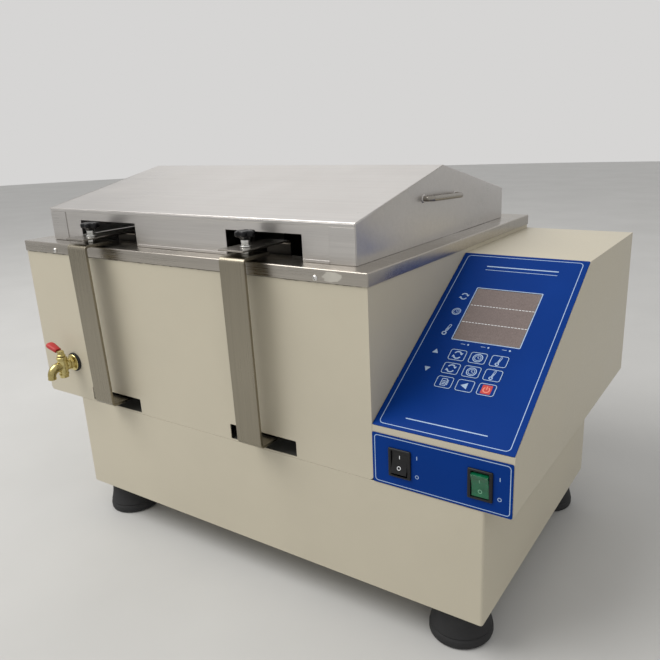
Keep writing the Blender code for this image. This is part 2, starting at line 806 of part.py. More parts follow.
def make_drive():
    bearing = box(
        "crank_bearing",
        (CRANK_X - 35, CRANK_Y - 30, -25),
        (CRANK_X + 35, CRANK_Y + 30, 0),
        radius=4,
    )
    bore = cylinder(
        "bearing_bore", SHAFT_R + GAP, (CRANK_X, CRANK_Y, -40), (CRANK_X, CRANK_Y, 10)
    )
    paint(cut(bearing, bore), "aluminium")

    joint = empty("crank_joint", (CRANK_X, CRANK_Y, 0), CORNER)
    disc = cylinder("crank_disc", 30, (CRANK_X, CRANK_Y, 2.5), (CRANK_X, CRANK_Y, 9), 32)
    shaft = cylinder("crank_shaft", SHAFT_R, (CRANK_X, CRANK_Y, -47), (CRANK_X, CRANK_Y, 4))
    pin_y = CRANK_Y - CRANK_THROW
    pin = cylinder("crank_pin", CRANK_PIN_R, (CRANK_X, pin_y, 8), (CRANK_X, pin_y, 17))
    join(disc, shaft, pin)
    for piece in (disc, shaft, pin):
        ride(piece, joint)
    paint(disc, "dark_steel")

    pulley = turned(
        "crank_pulley",
        pulley_profile(CRANK_PITCH_R, SHAFT_R + GAP),
        (CRANK_X, CRANK_Y),
        ring=True,
    )
    pulley.parent = joint
    pulley.location = (0, 0, -joint.location.z)
    paint(pulley, "aluminium")

    motor_joint = empty("motor_joint", (MOTOR_X, CRANK_Y, 0), CORNER)
    small = pulley_profile(MOTOR_PITCH_R, 5)
    stub = [(5, BELT_Z[0] - 4.2), (0, BELT_Z[0] - 4.2)]
    motor_pulley = turned(
        "motor_pulley", [(0, small[0][1]), *small[1:], *stub], (MOTOR_X, CRANK_Y)
    )
    motor_pulley.parent = motor_joint
    motor_pulley.location = (0, 0, 0)
    paint(motor_pulley, "aluminium")

    motor_profile = [
        (0, -46.5),
        (12, -46.5),
        (12, -50),
        (41, -50),
        (41, -118),
        (36, -124.2),
        (0, -124.2),
    ]
    paint(turned("motor", motor_profile, (MOTOR_X, CRANK_Y), 32), "dark_steel")
    mount = box(
        "motor_mount",
        (MOTOR_X - 52, CRANK_Y - 52, -BASE_H + 1.8),
        (MOTOR_X + 52, CRANK_Y + 52, -124.5),
        radius=1.5,
        segments=1,
    )
    paint(mount, "dark_steel")

    outer = belt_loop(BELT_THICK / 2)
    inner = belt_loop(-BELT_THICK / 2)
    paint(plate("drive_belt", [outer, inner], *BELT_Z), "black_rubber")


def pulley_profile(pitch, bore):
    """Flanged pulley: the belt's inner face runs GAP clear of the groove."""
    groove = pitch - BELT_THICK / 2 - GAP
    flange = pitch + BELT_THICK / 2 + 1.2
    return [
        (bore, BELT_Z[1] + 2.5),
        (flange, BELT_Z[1] + 2.5),
        (flange, BELT_Z[1] + 0.5),
        (groove, BELT_Z[1] + 0.5),
        (groove, BELT_Z[0] - 0.5),
        (flange, BELT_Z[0] - 0.5),
        (flange, BELT_Z[0] - 2.5),
        (bore, BELT_Z[0] - 2.5),
    ]


def belt_loop(offset):
    """Closed loop round both pulleys, offset from the pitch line."""
    spread = math.acos((CRANK_PITCH_R - MOTOR_PITCH_R) / (MOTOR_X - CRANK_X))
    steps = 20
    loop = []
    for centre, pitch, start, end in (
        (CRANK_X, CRANK_PITCH_R, spread, 2 * math.pi - spread),
        (MOTOR_X, MOTOR_PITCH_R, -spread, spread),
    ):
        for i in range(steps + 1):
            turn = start + (end - start) * i / steps
            radius = pitch + offset
            loop.append((centre + radius * math.cos(turn), CRANK_Y + radius * math.sin(turn)))
    return loop


def make_carriage():
    """Plate, arms and rack that shake together along X."""
    joint = empty("shake_joint", (CRANK_X, CRANK_Y, CARRIAGE_Z[1]), CORNER)
    slack = 4.7
    outline = rounded_rectangle((110, TANK_FRONT), (438, rear(TANK_FRONT)), 6)
    yoke = rounded_rectangle(
        (CRANK_X - CRANK_PIN_R - slack, CRANK_Y - CRANK_THROW - CRANK_PIN_R - 2),
        (CRANK_X + CRANK_PIN_R + slack, CRANK_Y + CRANK_THROW + CRANK_PIN_R + 2),
        5,
    )
    carriage = plate("carriage_plate", [outline, yoke], *CARRIAGE_Z)
    paint(ride(carriage, joint), "dark_steel")

    tray = box("rack_tray", (75.4, 53, 72), (475, rear(53), 122))
    hollow = box("tray_hollow", (76.6, 54.2, 73.2), (473.8, rear(54.2), 140))
    cut(tray, hollow)
    ride(hollow, joint)
    for end, at in (("front", lambda y: y), ("rear", rear)):
        for side, x in ARM_X.items():
            hanger_top = ARM_TOP[side] + HANGER_RISE
            path = [(at(y), z) for y, z in arm_path(side)]
            arm = bent_strip(
                f"arm_{end}_{side}", path, ARM_THICK, x - ARM_W / 2, x + ARM_W / 2, ARM_LEAN[side]
            )
            bore = cylinder(f"knob_hole_{end}_{side}", 3.4, (x, at(0), 215), (x, at(0), 240), 16)
            paint(ride(cut(arm, bore), joint), "stainless")
            path = [(at(y), z) for y, z in strap_path(hanger_top)]
            strap = bent_strip(
                f"strap_{end}_{side}", path, HANGER_THICK, x - HANGER_W / 2, x + HANGER_W / 2
            )
            join(tray, strap)
            cut(tray, bore)
            ride(strap, joint)
            ride(bore, joint)
            make_knob(f"knob_{end}_{side}", (x, at(0)), hanger_top)
    paint(ride(tray, joint), "stainless")


def arm_path(side):
    """Centre line of a front arm: in through the slot, up the wall and over the rim."""
    half = ARM_THICK / 2
    low = ARM_LOW + half
    outer = half - ARM_REACH
    top = ARM_TOP[side] - half
    return filleted([(80, low), (outer, low), (outer, top), (17, top)], 4.5)


def strap_path(top):
    """Centre line of a front hanger strap: from above the arm to the tray."""
    level = top - HANGER_THICK / 2
    return filleted([(-24.3, level), (53.5, level), (53.5, 80)], 4.0)


def make_knob(name, spot, hanger_top):
    """Star knob with a metal ferrule and a stud through hanger and arm."""
    lobes = 6
    points = 36
    star = []
    for i in range(points):
        turn = 2 * math.pi * i / points
        radius = 10.0 + 1.2 * math.cos(lobes * turn)
        star.append((spot[0] + radius * math.cos(turn), spot[1] + radius * math.sin(turn)))
    joint = empty(f"{name}_joint", (*spot, hanger_top), CORNER)
    knob = plate(name, [star], hanger_top + 7.5, hanger_top + 17)
    ferrule = cylinder(
        f"{name}_ferrule", 5.2, (*spot, hanger_top + GAP), (*spot, hanger_top + 9), 16
    )
    stud = cylinder(f"{name}_stud", 3.0, (*spot, RIM_TOP + 1.7), (*spot, hanger_top + 3), 16)
    join(knob, ferrule, stud)
    for piece in (knob, ferrule, stud):
        ride(piece, joint)
    paint(knob, "black_plastic")


# ---------------------------------------------------------------- lid


def make_lid():
    joint = empty("lid_joint", ((LID_X[0] + LID_X[1]) / 2, LID_RIDGE_Y, LID_BOTTOM), CORNER)
    lid = gable_shell("lid")
    for side, x in ARM_X.items():
        left = x - 48.5
        right = x + 57.0
        notch = box(
            f"lid_notch_{side}",
            (left, LID_Y[0] - 10, LID_BOTTOM - 10),
            (right, LID_Y[1] + 10, LID_CUT_TOP),
        )
        cut(lid, notch)
        ride(notch, joint)
    paint(ride(lid, joint), "stainless")

    for name, wall, out in (
        ("lid_handle_left", LID_X[0] - GAP, -LID_HANDLE_OUT),
        ("lid_handle_right", LID_X[1] + GAP, LID_HANDLE_OUT),
    ):
        corners = [
            (wall, LID_HANDLE_Y[0], LID_HANDLE_Z[0]),
            (wall + out, LID_HANDLE_Y[0], LID_HANDLE_Z[0]),
            (wall + out, LID_HANDLE_Y[1], LID_HANDLE_Z[1]),
            (wall, LID_HANDLE_Y[1], LID_HANDLE_Z[1]),
        ]
        handle = tube(name, filleted(corners, 7, 4), LID_HANDLE_R, 2)
        paint(ride(handle, joint), "stainless")


def gable_shell(name):
    """Sheet-metal lid: four walls and two roof slopes, open underneath."""
    outline = [
        (LID_Y[0], LID_BOTTOM),
        (LID_Y[0], LID_EAVE),
        (LID_RIDGE_Y, LID_RIDGE),
        (LID_Y[1], LID_EAVE),
        (LID_Y[1], LID_BOTTOM),
    ]
    bm = bmesh.new()
    spots = [bm.verts.new((LID_X[1] * MM, y * MM, z * MM)) for y, z in outline]
    gable = bm.faces.new(spots)
    grown = bmesh.ops.extrude_face_region(bm, geom=[gable], use_keep_orig=True)
    new_spots = [g for g in grown["geom"] if isinstance(g, bmesh.types.BMVert)]
    bmesh.ops.translate(bm, vec=((LID_X[0] - LID_X[1]) * MM, 0, 0), verts=new_spots)
    bmesh.ops.recalc_face_normals(bm, faces=bm.faces)
    bottom = [f for f in bm.faces if f.normal.z < -0.9]
    bmesh.ops.delete(bm, geom=bottom, context="FACES_ONLY")
    made = add_mesh(name, bm)
    solidify = made.modifiers.new("sheet", "SOLIDIFY")
    solidify.thickness = LID_SHEET * MM
    solidify.offset = -1.0
    solidify.use_even_offset = True
    return made


make_base()
make_feet()
make_casing()
make_tank()
make_heater()
make_rim()
make_control_box()
make_panel()
make_keys()
make_switches()
make_rear_sockets()
make_tap()
make_guides()
make_drive()
make_carriage()
make_lid()
bpy.context.view_layer.update()
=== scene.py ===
"""Looks of the shaking water bath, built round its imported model.

Lengths are in millimetres, measured from the casing corner: X to the right from the casing's left wall, Y to
the rear from its front wall, Z up from the seam between base and casing. Every piece is made in those
millimetres and carried into the frame's metres as it is placed.
"""

import math
import random

import bmesh
import bpy
from mathutils import Matrix, Vector


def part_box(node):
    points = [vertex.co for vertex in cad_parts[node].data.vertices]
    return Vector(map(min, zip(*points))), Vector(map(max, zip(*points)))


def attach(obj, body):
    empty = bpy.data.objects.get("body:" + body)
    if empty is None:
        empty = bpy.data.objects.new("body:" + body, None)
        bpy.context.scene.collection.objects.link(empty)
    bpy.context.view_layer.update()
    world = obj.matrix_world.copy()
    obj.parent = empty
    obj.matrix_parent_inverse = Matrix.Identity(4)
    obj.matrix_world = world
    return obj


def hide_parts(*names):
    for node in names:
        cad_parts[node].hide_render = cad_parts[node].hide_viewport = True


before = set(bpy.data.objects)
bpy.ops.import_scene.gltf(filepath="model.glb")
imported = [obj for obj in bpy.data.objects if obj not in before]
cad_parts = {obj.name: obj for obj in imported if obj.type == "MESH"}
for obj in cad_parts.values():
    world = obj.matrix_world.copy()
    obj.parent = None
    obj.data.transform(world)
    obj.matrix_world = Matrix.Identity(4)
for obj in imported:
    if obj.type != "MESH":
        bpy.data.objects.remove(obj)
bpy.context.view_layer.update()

MM = 0.001
SEAM = Vector((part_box("tank_casing")[0].x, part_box("tank_casing")[0].y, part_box("base_shell")[1].z))
CASING = Matrix.Translation(SEAM) @ Matrix.Scale(MM, 4)


def span(node):
    """Lowest and highest corner of a CAD node, in millimetres from the casing corner."""
    low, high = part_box(node)
    return (low - SEAM) / MM, (high - SEAM) / MM


# Sheet metal
SHEET = 1.2
CASING_R = 5.0
BASE_R = 3.0
FOLD_R = 1.3
CASING_LOW, CASING_HIGH = span("tank_casing")
DEPTH = CASING_HIGH.y
BOX_LOW, BOX_HIGH = span("control_box")
RIM_LOW, RIM_HIGH = span("rim_cap")
RIM_SHEET = 1.0
RIM_SCREW_X = {"left": 66.0, "right": 490.5}
RIM_SCREW_Z = 208.6
TANK_WALL = 46.3
TANK_CORNER_R = 10.7

# Slanted panel and switch strip: S runs up the panel from its lower crease, X from its left edge. Holes are
# given as half widths and half heights, and the key field's as its low and high X, S corners.
PANEL_Z = 63.3
PANEL_RUN = 228.5
PANEL_ANGLE = math.atan2(BOX_HIGH.z - PANEL_Z, PANEL_RUN)
PANEL_W = BOX_HIGH.x - CASING_HIGH.x
PANEL_L = math.hypot(PANEL_RUN, BOX_HIGH.z - PANEL_Z)
FILM_TOP = 0.9
KEY_TOP = 1.0
WINDOW_TOP = 0.75
WINDOW_X = (38.0, 112.8)
WINDOW_S = (126.2, 206.3)
KEY_X = {"left": 52.5, "middle": 75.3, "right": 98.2}
KEY_S = {"upper": 105.0, "centre": 86.2, "lower": 67.5}
KEY_SIZE = (18.7, 15.2)
KEY_FIELD = ((41.0, 57.5), (110.0, 115.0))
STRIP_TOP = 56.5
SWITCH_X = {"heater": 582.5, "power": 667.8}
SWITCH_Z = 28.3
SWITCH_HOLE = (11.2, 14.8)
ROCKER_Y = 6.0
ROCKER_TILT = math.radians(9.0)

# Drive seen from outside. An arm's foot stands ARM_LEAN farther right than its top, and a hanger's leg goes
# down behind the rim at LEG_Y.
ARM_X = {"left": 146.0, "right": 402.0}
ARM_LEAN = {"left": 8.0, "right": 2.5}
ARM_TOP = {"left": 224.5, "right": 227.2}
ARM_W = 34.5
ARM_THICK = 3.5
ARM_OUT = 25.0
ARM_LOW = 14.3
SLOT_W = 98.0
SLOT_Z = (2.0, 21.0)
HANGER_RISE = 7.2
HANGER_W = 34.0
HANGER_THICK = 1.8
HANGER_FRONT = -24.3
LEG_Y = 53.5
LEG_LOW = 80.0
ARM_END = 17.0  # where an arm's upper leg ends behind the casing's wall
BOLT_R = 3.4
TRAY_X = (75.4, 475.0)
TRAY_Y = 53.0
TRAY_Z = (72.0, 122.0)

# Lid
LID_LOW, LID_HIGH = span("lid")
LID_SHEET = 0.8
LID_FOLD_R = 0.85
EAVE_Z = 260.9
RIDGE_Y = 216.0
NOTCH_TOP = 247.0
NOTCH_SIDES = (-48.5, 57.0)  # left and right of an arm's middle
HANDLE_Y = (166.0, 250.0)
HANDLE_Z = (270.0, 266.5)
HANDLE_OUT = 10.3
HANDLE_R = 3.2

# Tap
TAP_X = 67.0
TAP_Z = 53.0
TAP_Y = -19.5
SPOUT_Y = -38.0

# Rear sockets
INLET_X = 640.0
FUSE_X = 600.0
SOCKET_Z = 45.0

# Local frames: x and y lie in an outline's plane, z is the way it is thickened or its axis of turning
UP = Matrix.Identity(4)
SIDE = Matrix(((0, 0, 1, 0), (1, 0, 0, 0), (0, 1, 0, 0), (0, 0, 0, 1)))
FRONT = Matrix(((1, 0, 0, 0), (0, 0, -1, 0), (0, 1, 0, 0), (0, 0, 0, 1)))
REAR = Matrix(((-1, 0, 0, 0), (0, 0, 1, 0), (0, 1, 0, 0), (0, 0, 0, 1)))
PANEL = Matrix.Translation((CASING_HIGH.x, 0, PANEL_Z)) @ Matrix.Rotation(PANEL_ANGLE, 4, "X")


def rear(y):
    """The same place measured from the rear wall."""
    return DEPTH - y


def moved(x, y, z, turn=UP):
    return Matrix.Translation((x, y, z)) @ turn


# --- materials


class Surface:
    """Principled material and the few kinds of node that its variation needs."""

    def __init__(self, name, colour, roughness, metallic=0.0):
        self.material = bpy.data.materials.new(name)
        self.material.use_nodes = True
        self.tree = self.material.node_tree
        self.shader = self.tree.nodes["Principled BSDF"]
        self.shader.inputs["Base Color"].default_value = (*colour, 1.0)
        self.shader.inputs["Roughness"].default_value = roughness
        self.shader.inputs["Metallic"].default_value = metallic
        self.material.diffuse_color = (*colour, 1.0)
        self.place = self.node("ShaderNodeTexCoord").outputs["Object"]

    def node(self, kind, inputs=(), **values):
        """New node with its properties set, and its input sockets by (name, value)."""
        made = self.tree.nodes.new(kind)
        for name, value in values.items():
            setattr(made, name, value)
        for socket, value in inputs:
            made.inputs[socket].default_value = value
        return made

    def link(self, output, target):
        self.tree.links.new(output, target)

    def set(self, socket, value):
        self.shader.inputs[socket].default_value = value

    def noise(self, scale, detail=3.0, stretch=(1.0, 1.0, 1.0)):
        """Noise whose grains are 1 / scale metres, drawn out where stretch is small."""
        mapping = self.node("ShaderNodeMapping", [("Scale", stretch)])
        self.link(self.place, mapping.inputs["Vector"])
        made = self.node("ShaderNodeTexNoise", [("Scale", scale), ("Detail", detail), ("Roughness", 0.55)])
        self.link(mapping.outputs["Vector"], made.inputs["Vector"])
        return made.outputs["Fac"]

    def between(self, source, low, high, start=0.3, end=0.7):
        """Number that goes from low to high as the source goes from start to end."""
        limits = [("From Min", start), ("From Max", end), ("To Min", low), ("To Max", high)]
        made = self.node("ShaderNodeMapRange", limits)
        self.link(source, made.inputs["Value"])
        return made.outputs["Result"]

    def tint(self, source, first, second, start=0.3, end=0.7):
        """Colour that goes from first to second with the source."""
        made = self.node("ShaderNodeMix", data_type="RGBA")
        self.link(self.between(source, 0.0, 1.0, start, end), made.inputs["Factor"])
        made.inputs["A"].default_value = (*first, 1.0)
        made.inputs["B"].default_value = (*second, 1.0)
        return made.outputs["Result"]

    def times(self, first, second):
        made = self.node("ShaderNodeMix", data_type="RGBA", blend_type="MULTIPLY")
        made.inputs["Factor"].default_value = 1.0
        self.link(first, made.inputs["A"])
        self.link(second, made.inputs["B"])
        return made.outputs["Result"]

    def sum(self, first, second):
        made = self.node("ShaderNodeMath", operation="ADD")
        self.link(first, made.inputs[0])
        self.link(second, made.inputs[1])
        return made.outputs["Value"]

    def relief(self, source, height, strength, below=None):
        """Bump of the given height in metres, on top of another one."""
        made = self.node("ShaderNodeBump", [("Strength", strength), ("Distance", height)])
        self.link(source, made.inputs["Height"])
        if below is not None:
            self.link(below, made.inputs["Normal"])
        self.link(made.outputs["Normal"], self.shader.inputs["Normal"])
        return made.outputs["Normal"]

    def mottle(self, source, first, second, roughness):
        """Colour and roughness that change together with the source."""
        self.drive("Base Color", self.tint(source, first, second))
        self.drive("Roughness", self.between(source, *roughness))

    def drive(self, socket, source):
        self.link(source, self.shader.inputs[socket])


def shade(colour, factor):
    return tuple(min(1.0, c * factor) for c in colour)


def powder_coat(name, colour, roughness):
    """Satin paint with fine orange peel, faint cloudiness and a few dull spots."""
    s = Surface(name, colour, roughness)
    cloud = s.noise(7.0, 4.0)
    peel = s.noise(520.0, 2.0)
    grain = s.noise(2600.0, 1.0)
    s.drive("Base Color", s.tint(cloud, shade(colour, 0.965), shade(colour, 1.03)))
    sheen = s.between(peel, roughness - 0.04, roughness + 0.04)
    s.drive("Roughness", s.sum(s.between(cloud, -0.05, 0.05), sheen))
    s.relief(grain, 0.00002, 0.5, below=s.relief(peel, 0.00012, 0.35))
    s.set("Specular IOR Level", 0.4)
    return s.material


def brushed_steel(name, colour, roughness, stretch, wave=0.0006):
    """Rolled steel with fine lines along the direction whose stretch is small, smudges and a slight wave."""
    s = Surface(name, colour, roughness, 1.0)
    lines = s.noise(1500.0, 3.0, stretch)
    broad = s.noise(220.0, 2.0, stretch)
    smudge = s.noise(11.0, 4.0)
    swell = s.noise(4.0, 1.0)
    streaks = s.tint(lines, shade(colour, 0.93), shade(colour, 1.05))
    s.drive("Base Color", s.times(streaks, s.tint(broad, (0.95, 0.95, 0.95), (1.0, 1.0, 1.0))))
    sheen = s.between(smudge, roughness - 0.05, roughness + 0.07)
    s.drive("Roughness", s.sum(s.between(lines, -0.05, 0.05), sheen))
    s.relief(lines, 0.00001, 0.5, below=s.relief(swell, wave, 0.6))
    return s.material


def bright_metal(name, colour, roughness, stain, grain=900.0):
    """Polished metal with light stains that are duller and darker."""
    s = Surface(name, colour, roughness, 1.0)
    spots = s.noise(60.0, 5.0)
    scratch = s.noise(grain, 2.0)
    s.drive("Base Color", s.tint(spots, colour, stain, 0.45, 0.75))
    sheen = s.between(scratch, roughness - 0.04, roughness + 0.05)
    s.drive("Roughness", s.sum(s.between(spots, 0.0, 0.12, 0.45, 0.75), sheen))
    s.relief(scratch, 0.00002, 0.4)
    return s.material


def moulded(name, colour, roughness, grain_height=0.00004, grain=1800.0):
    """Moulded plastic with a fine spark-eroded grain."""
    s = Surface(name, colour, roughness)
    texture = s.noise(grain, 2.0)
    handling = s.noise(45.0, 3.0)
    s.mottle(handling, shade(colour, 0.9), shade(colour, 1.12), (roughness - 0.06, roughness + 0.08))
    s.relief(texture, grain_height, 0.6)
    s.set("Specular IOR Level", 0.3)
    return s.material


def printed_film(name, colour):
    """Polycarbonate film with a fine matt texture over the colour printed behind it."""
    s = Surface(name, colour, 0.40)
    texture = s.noise(3200.0, 1.0)
    wash = s.noise(9.0, 3.0)
    s.mottle(wash, shade(colour, 0.93), shade(colour, 1.08), (0.37, 0.46))
    s.relief(texture, 0.000012, 0.6)
    s.set("Specular IOR Level", 0.07)
    return s.material


def ink(name, colour):
    """Screen-printed ink, a little thin in places."""
    s = Surface(name, colour, 0.5)
    thin = s.noise(700.0, 3.0)
    s.mottle(thin, shade(colour, 0.82), colour, (0.45, 0.6))
    return s.material


def smoked_glass(name, colour):
    """Tinted window with the dull grain of the unlit digits behind it."""
    s = Surface(name, colour, 0.22)
    grain = s.noise(1300.0, 3.0, (1.0, 0.35, 0.35))
    band = s.noise(30.0, 2.0)
    speckle = s.tint(grain, shade(colour, 0.8), shade(colour, 1.22))
    s.drive("Base Color", s.times(speckle, s.tint(band, (0.92, 0.92, 0.92), (1.0, 1.0, 1.0))))
    s.drive("Roughness", s.between(band, 0.2, 0.3))
    s.relief(grain, 0.00001, 0.4)
    s.set("Coat Weight", 0.3)
    s.set("Coat Roughness", 0.08)
    return s.material


def lens_plastic(name, colour):
    """Translucent coloured plastic of a lit rocker."""
    s = Surface(name, colour, 0.22)
    depth = s.noise(140.0, 2.0)
    s.mottle(depth, shade(colour, 0.75), shade(colour, 1.2), (0.18, 0.28))
    s.set("Subsurface Weight", 0.15)
    s.set("Subsurface Radius", (0.2, 1.0, 0.5))
    s.set("Subsurface Scale", 0.003)
    s.set("Coat Weight", 0.25)
    s.set("Coat Roughness", 0.1)
    return s.material


def rubber(name, colour):
    """Black rubber with dust in its pores."""
    s = Surface(name, colour, 0.78)
    dust = s.noise(35.0, 5.0)
    pores = s.noise(900.0, 3.0)
    s.drive("Base Color", s.tint(dust, colour, shade(colour, 2.0), 0.45, 0.8))
    s.drive("Roughness", s.between(dust, 0.7, 0.9))
    s.relief(pores, 0.00012, 0.5)
    return s.material


def wool(name, colour):
    """Loose mineral wool."""
    s = Surface(name, colour, 0.95)
    fibre = s.noise(420.0, 6.0, (1.0, 1.0, 0.25))
    s.mottle(fibre, shade(colour, 0.7), shade(colour, 1.2), (0.88, 1.0))
    s.relief(fibre, 0.0012, 0.8)
    return s.material


BEIGE = (0.520, 0.478, 0.375)
STEEL = (0.600, 0.580, 0.560)
DULL_STEEL = (0.440, 0.410, 0.365)
ARM_STEEL = (0.298, 0.270, 0.212)
ALONG_X = (0.01, 1.0, 1.0)
ALONG_Z = (1.0, 1.0, 0.01)
PAINTS = {
    name: make(name, *values)
    for name, make, *values in (
        ("beige_paint", powder_coat, BEIGE, 0.42),
        # grey_primer: near-black paint on the casing's inner faces, painted shade for the dark inside seen
        # through the slots
        ("grey_primer", powder_coat, (0.070, 0.070, 0.062), 0.6),
        ("lid_steel", brushed_steel, STEEL, 0.34, ALONG_X),
        ("rim_steel", brushed_steel, DULL_STEEL, 0.27, ALONG_X, 0.0004),
        ("arm_steel", brushed_steel, ARM_STEEL, 0.30, ALONG_Z, 0.0002),
        ("tank_steel", brushed_steel, shade(STEEL, 0.72), 0.36, ALONG_Z),
        # stained_steel: steel darkened to near black, painted shade for the hanger legs that hang in the
        # dark under the lid
        ("stained_steel", brushed_steel, shade(DULL_STEEL, 0.16), 0.48, ALONG_Z),
        ("hanger_steel", brushed_steel, shade(DULL_STEEL, 0.74), 0.26, ALONG_X, 0.0002),
        ("wire_steel", bright_metal, (0.68, 0.67, 0.65), 0.18, (0.45, 0.43, 0.40)),
        ("plated_steel", bright_metal, (0.80, 0.80, 0.78), 0.14, (0.60, 0.60, 0.57)),
        ("dark_steel", bright_metal, (0.15, 0.15, 0.155), 0.42, (0.10, 0.09, 0.085)),
        ("aluminium", bright_metal, (0.70, 0.71, 0.72), 0.36, (0.58, 0.58, 0.58)),
        ("brass", bright_metal, (0.62, 0.53, 0.24), 0.2, (0.34, 0.27, 0.10)),
        ("blue_film", printed_film, (0.001, 0.032, 0.205)),
        ("ink", ink, (0.42, 0.56, 0.76)),
        ("white_ink", ink, (0.82, 0.84, 0.86)),
        ("red_ink", ink, (0.56, 0.040, 0.03)),
        ("pale_red_ink", ink, (0.86, 0.27, 0.20)),
        ("pale_green_ink", ink, (0.20, 0.45, 0.30)),
        ("smoked_window", smoked_glass, (0.175, 0.135, 0.125)),
        ("black_plastic", moulded, (0.009, 0.009, 0.010), 0.38),
        ("knob_plastic", moulded, (0.004, 0.004, 0.005), 0.30, 0.00002, 900.0),
        ("green_plastic", lens_plastic, (0.003, 0.115, 0.048)),
        ("red_plastic", moulded, (0.42, 0.035, 0.035), 0.36, 0.00003, 600.0),
        ("black_rubber", rubber, (0.014, 0.014, 0.015)),
        ("sealant", rubber, (0.045, 0.040, 0.033)),
        ("film_residue", moulded, (0.46, 0.44, 0.39), 0.6, 0.0002, 400.0),
        ("mineral_wool", wool, (0.55, 0.50, 0.36)),
        ("circuit_board", moulded, (0.03, 0.20, 0.09), 0.45, 0.00008, 300.0),
    )
}


# --- shapes


def carrier(bm):
    """Temporary object that holds a shape while modifiers work on it."""
    mesh = bpy.data.meshes.new("carrier")
    bm.to_mesh(mesh)
    bm.free()
    held = bpy.data.objects.new("carrier", mesh)
    bpy.context.scene.collection.objects.link(held)
    return held


def taken(held, *others):
    """The carrier's shape after its modifiers; carriers are removed."""
    bpy.context.view_layer.update()
    graph = bpy.context.evaluated_depsgraph_get()
    mesh = bpy.data.meshes.new_from_object(held.evaluated_get(graph))
    bm = bmesh.new()
    bm.from_mesh(mesh)
    bpy.data.meshes.remove(mesh)
    for used in (held, *others):
        bpy.data.objects.remove(used, do_unlink=True)
    return bm


def shelled(bm, thickness):
    """Sheet metal of the thickness, its outer face where the shape's is."""
    bmesh.ops.recalc_face_normals(bm, faces=bm.faces)
    held = carrier(bm)
    sheet = held.modifiers.new("sheet", "SOLIDIFY")
    sheet.thickness = thickness
    sheet.offset = -1.0
    sheet.use_even_offset = True
    return taken(held)


def combined(bm, others, operation):
    """Boolean of a shape with others."""
    held = carrier(bm)
    guides = [carrier(other) for other in others]
    for guide in guides:
        modifier = held.modifiers.new("combine", "BOOLEAN")
        modifier.object = guide
        modifier.operation = operation
        modifier.solver = "EXACT"
    return taken(held, *guides)


def merged(*shapes):
    """Several separate shapes in one mesh."""
    whole = bmesh.new()
    for bm in shapes:
        mesh = bpy.data.meshes.new("part")
        bm.to_mesh(mesh)
        bm.free()
        whole.from_mesh(mesh)
        bpy.data.meshes.remove(mesh)
    return whole


def turned_by(bm, matrix):
    bm.transform(matrix)
    return bm


def cube(low, high):
    low = Vector(low)
    high = Vector(high)
    bm = bmesh.new()
    bmesh.ops.create_cube(bm, size=1.0)
    bmesh.ops.scale(bm, vec=high - low, verts=bm.verts)
    bmesh.ops.translate(bm, vec=(low + high) / 2, verts=bm.verts)
    return bm


def round_edges(bm, radius, segments=4, chosen=lambda edge: True):
    edges = [e for e in bm.edges if chosen(e)]
    bmesh.ops.bevel(bm, geom=edges, offset=radius, segments=segments, profile=0.5, affect="EDGES")
    return bm


def folded(edge):
    """Whether an edge is a steep fold, not a shallow crease."""
    return edge.calc_face_angle() > math.radians(45)


def along(axis):
    """Test for the edges that run along an axis: 0, 1 or 2."""
    return lambda edge: abs(edge.verts[0].co[axis] - edge.verts[1].co[axis]) > 1


def sheet_round(bm, thickness, radius, segments, chosen, opened):
    """Sheet metal round a solid, with its chosen edges round and the faces that pass opened left out."""
    round_edges(bm, radius, segments, chosen)
    bm.normal_update()
    faces = [f for f in bm.faces if opened(f.normal)]
    bmesh.ops.delete(bm, geom=faces, context="FACES")
    return shelled(bm, thickness)


def skinned(rings, closed=False):
    """Skin over rings of points. A ring of one point is a tip; closed joins the last ring to the first."""
    bm = bmesh.new()
    loops = [[bm.verts.new(point) for point in ring] for ring in rings]
    pairs = list(zip(loops, loops[1:]))
    if closed:
        pairs.append((loops[-1], loops[0]))
    else:
        for loop in (loops[0], loops[-1]):
            if len(loop) > 2:
                bm.faces.new(loop)
    for first, second in pairs:
        count = max(len(first), len(second))
        for i in range(count):
            spots = ((first, i), (first, i + 1), (second, i + 1), (second, i))
            corners = [loop[k % len(loop)] for loop, k in spots]
            bm.faces.new(list(dict.fromkeys(corners)))
    bmesh.ops.recalc_face_normals(bm, faces=bm.faces)
    return bm


def prism(outline, low, high):
    """Outline without holes, thickened from local height low to high."""
    return skinned([[(x, y, z) for x, y in outline] for z in (low, high)])


def flat(loops, low, high):
    """Outlines with holes, thickened from local height low to high."""
    curve = bpy.data.curves.new("outline", "CURVE")
    curve.dimensions = "2D"
    curve.fill_mode = "BOTH"
    curve.extrude = (high - low) / 2
    for loop in loops:
        spline = curve.splines.new("POLY")
        spline.points.add(len(loop) - 1)
        for spot, (x, y) in zip(spline.points, loop):
            spot.co = (x, y, 0.0, 1.0)
        spline.use_cyclic_u = True
    held = bpy.data.objects.new("outline", curve)
    bpy.context.scene.collection.objects.link(held)
    bm = taken(held)
    bmesh.ops.remove_doubles(bm, verts=bm.verts, dist=0.0005)
    bmesh.ops.translate(bm, vec=(0, 0, (low + high) / 2), verts=bm.verts)
    return bm


def turned(profile, steps=48, closed=False, reach=None):
    """Shape turned about local z through (radius, height) points; reach(angle, radius) varies the radius."""
    angles = [2 * math.pi * i / steps for i in range(steps)]
    rings = []
    for radius, height in profile:
        ring = []
        for angle in angles if radius else [0.0]:
            r = reach(angle, radius) if reach else radius
            ring.append((r * math.cos(angle), r * math.sin(angle), height))
        rings.append(ring)
    return skinned(rings, closed)


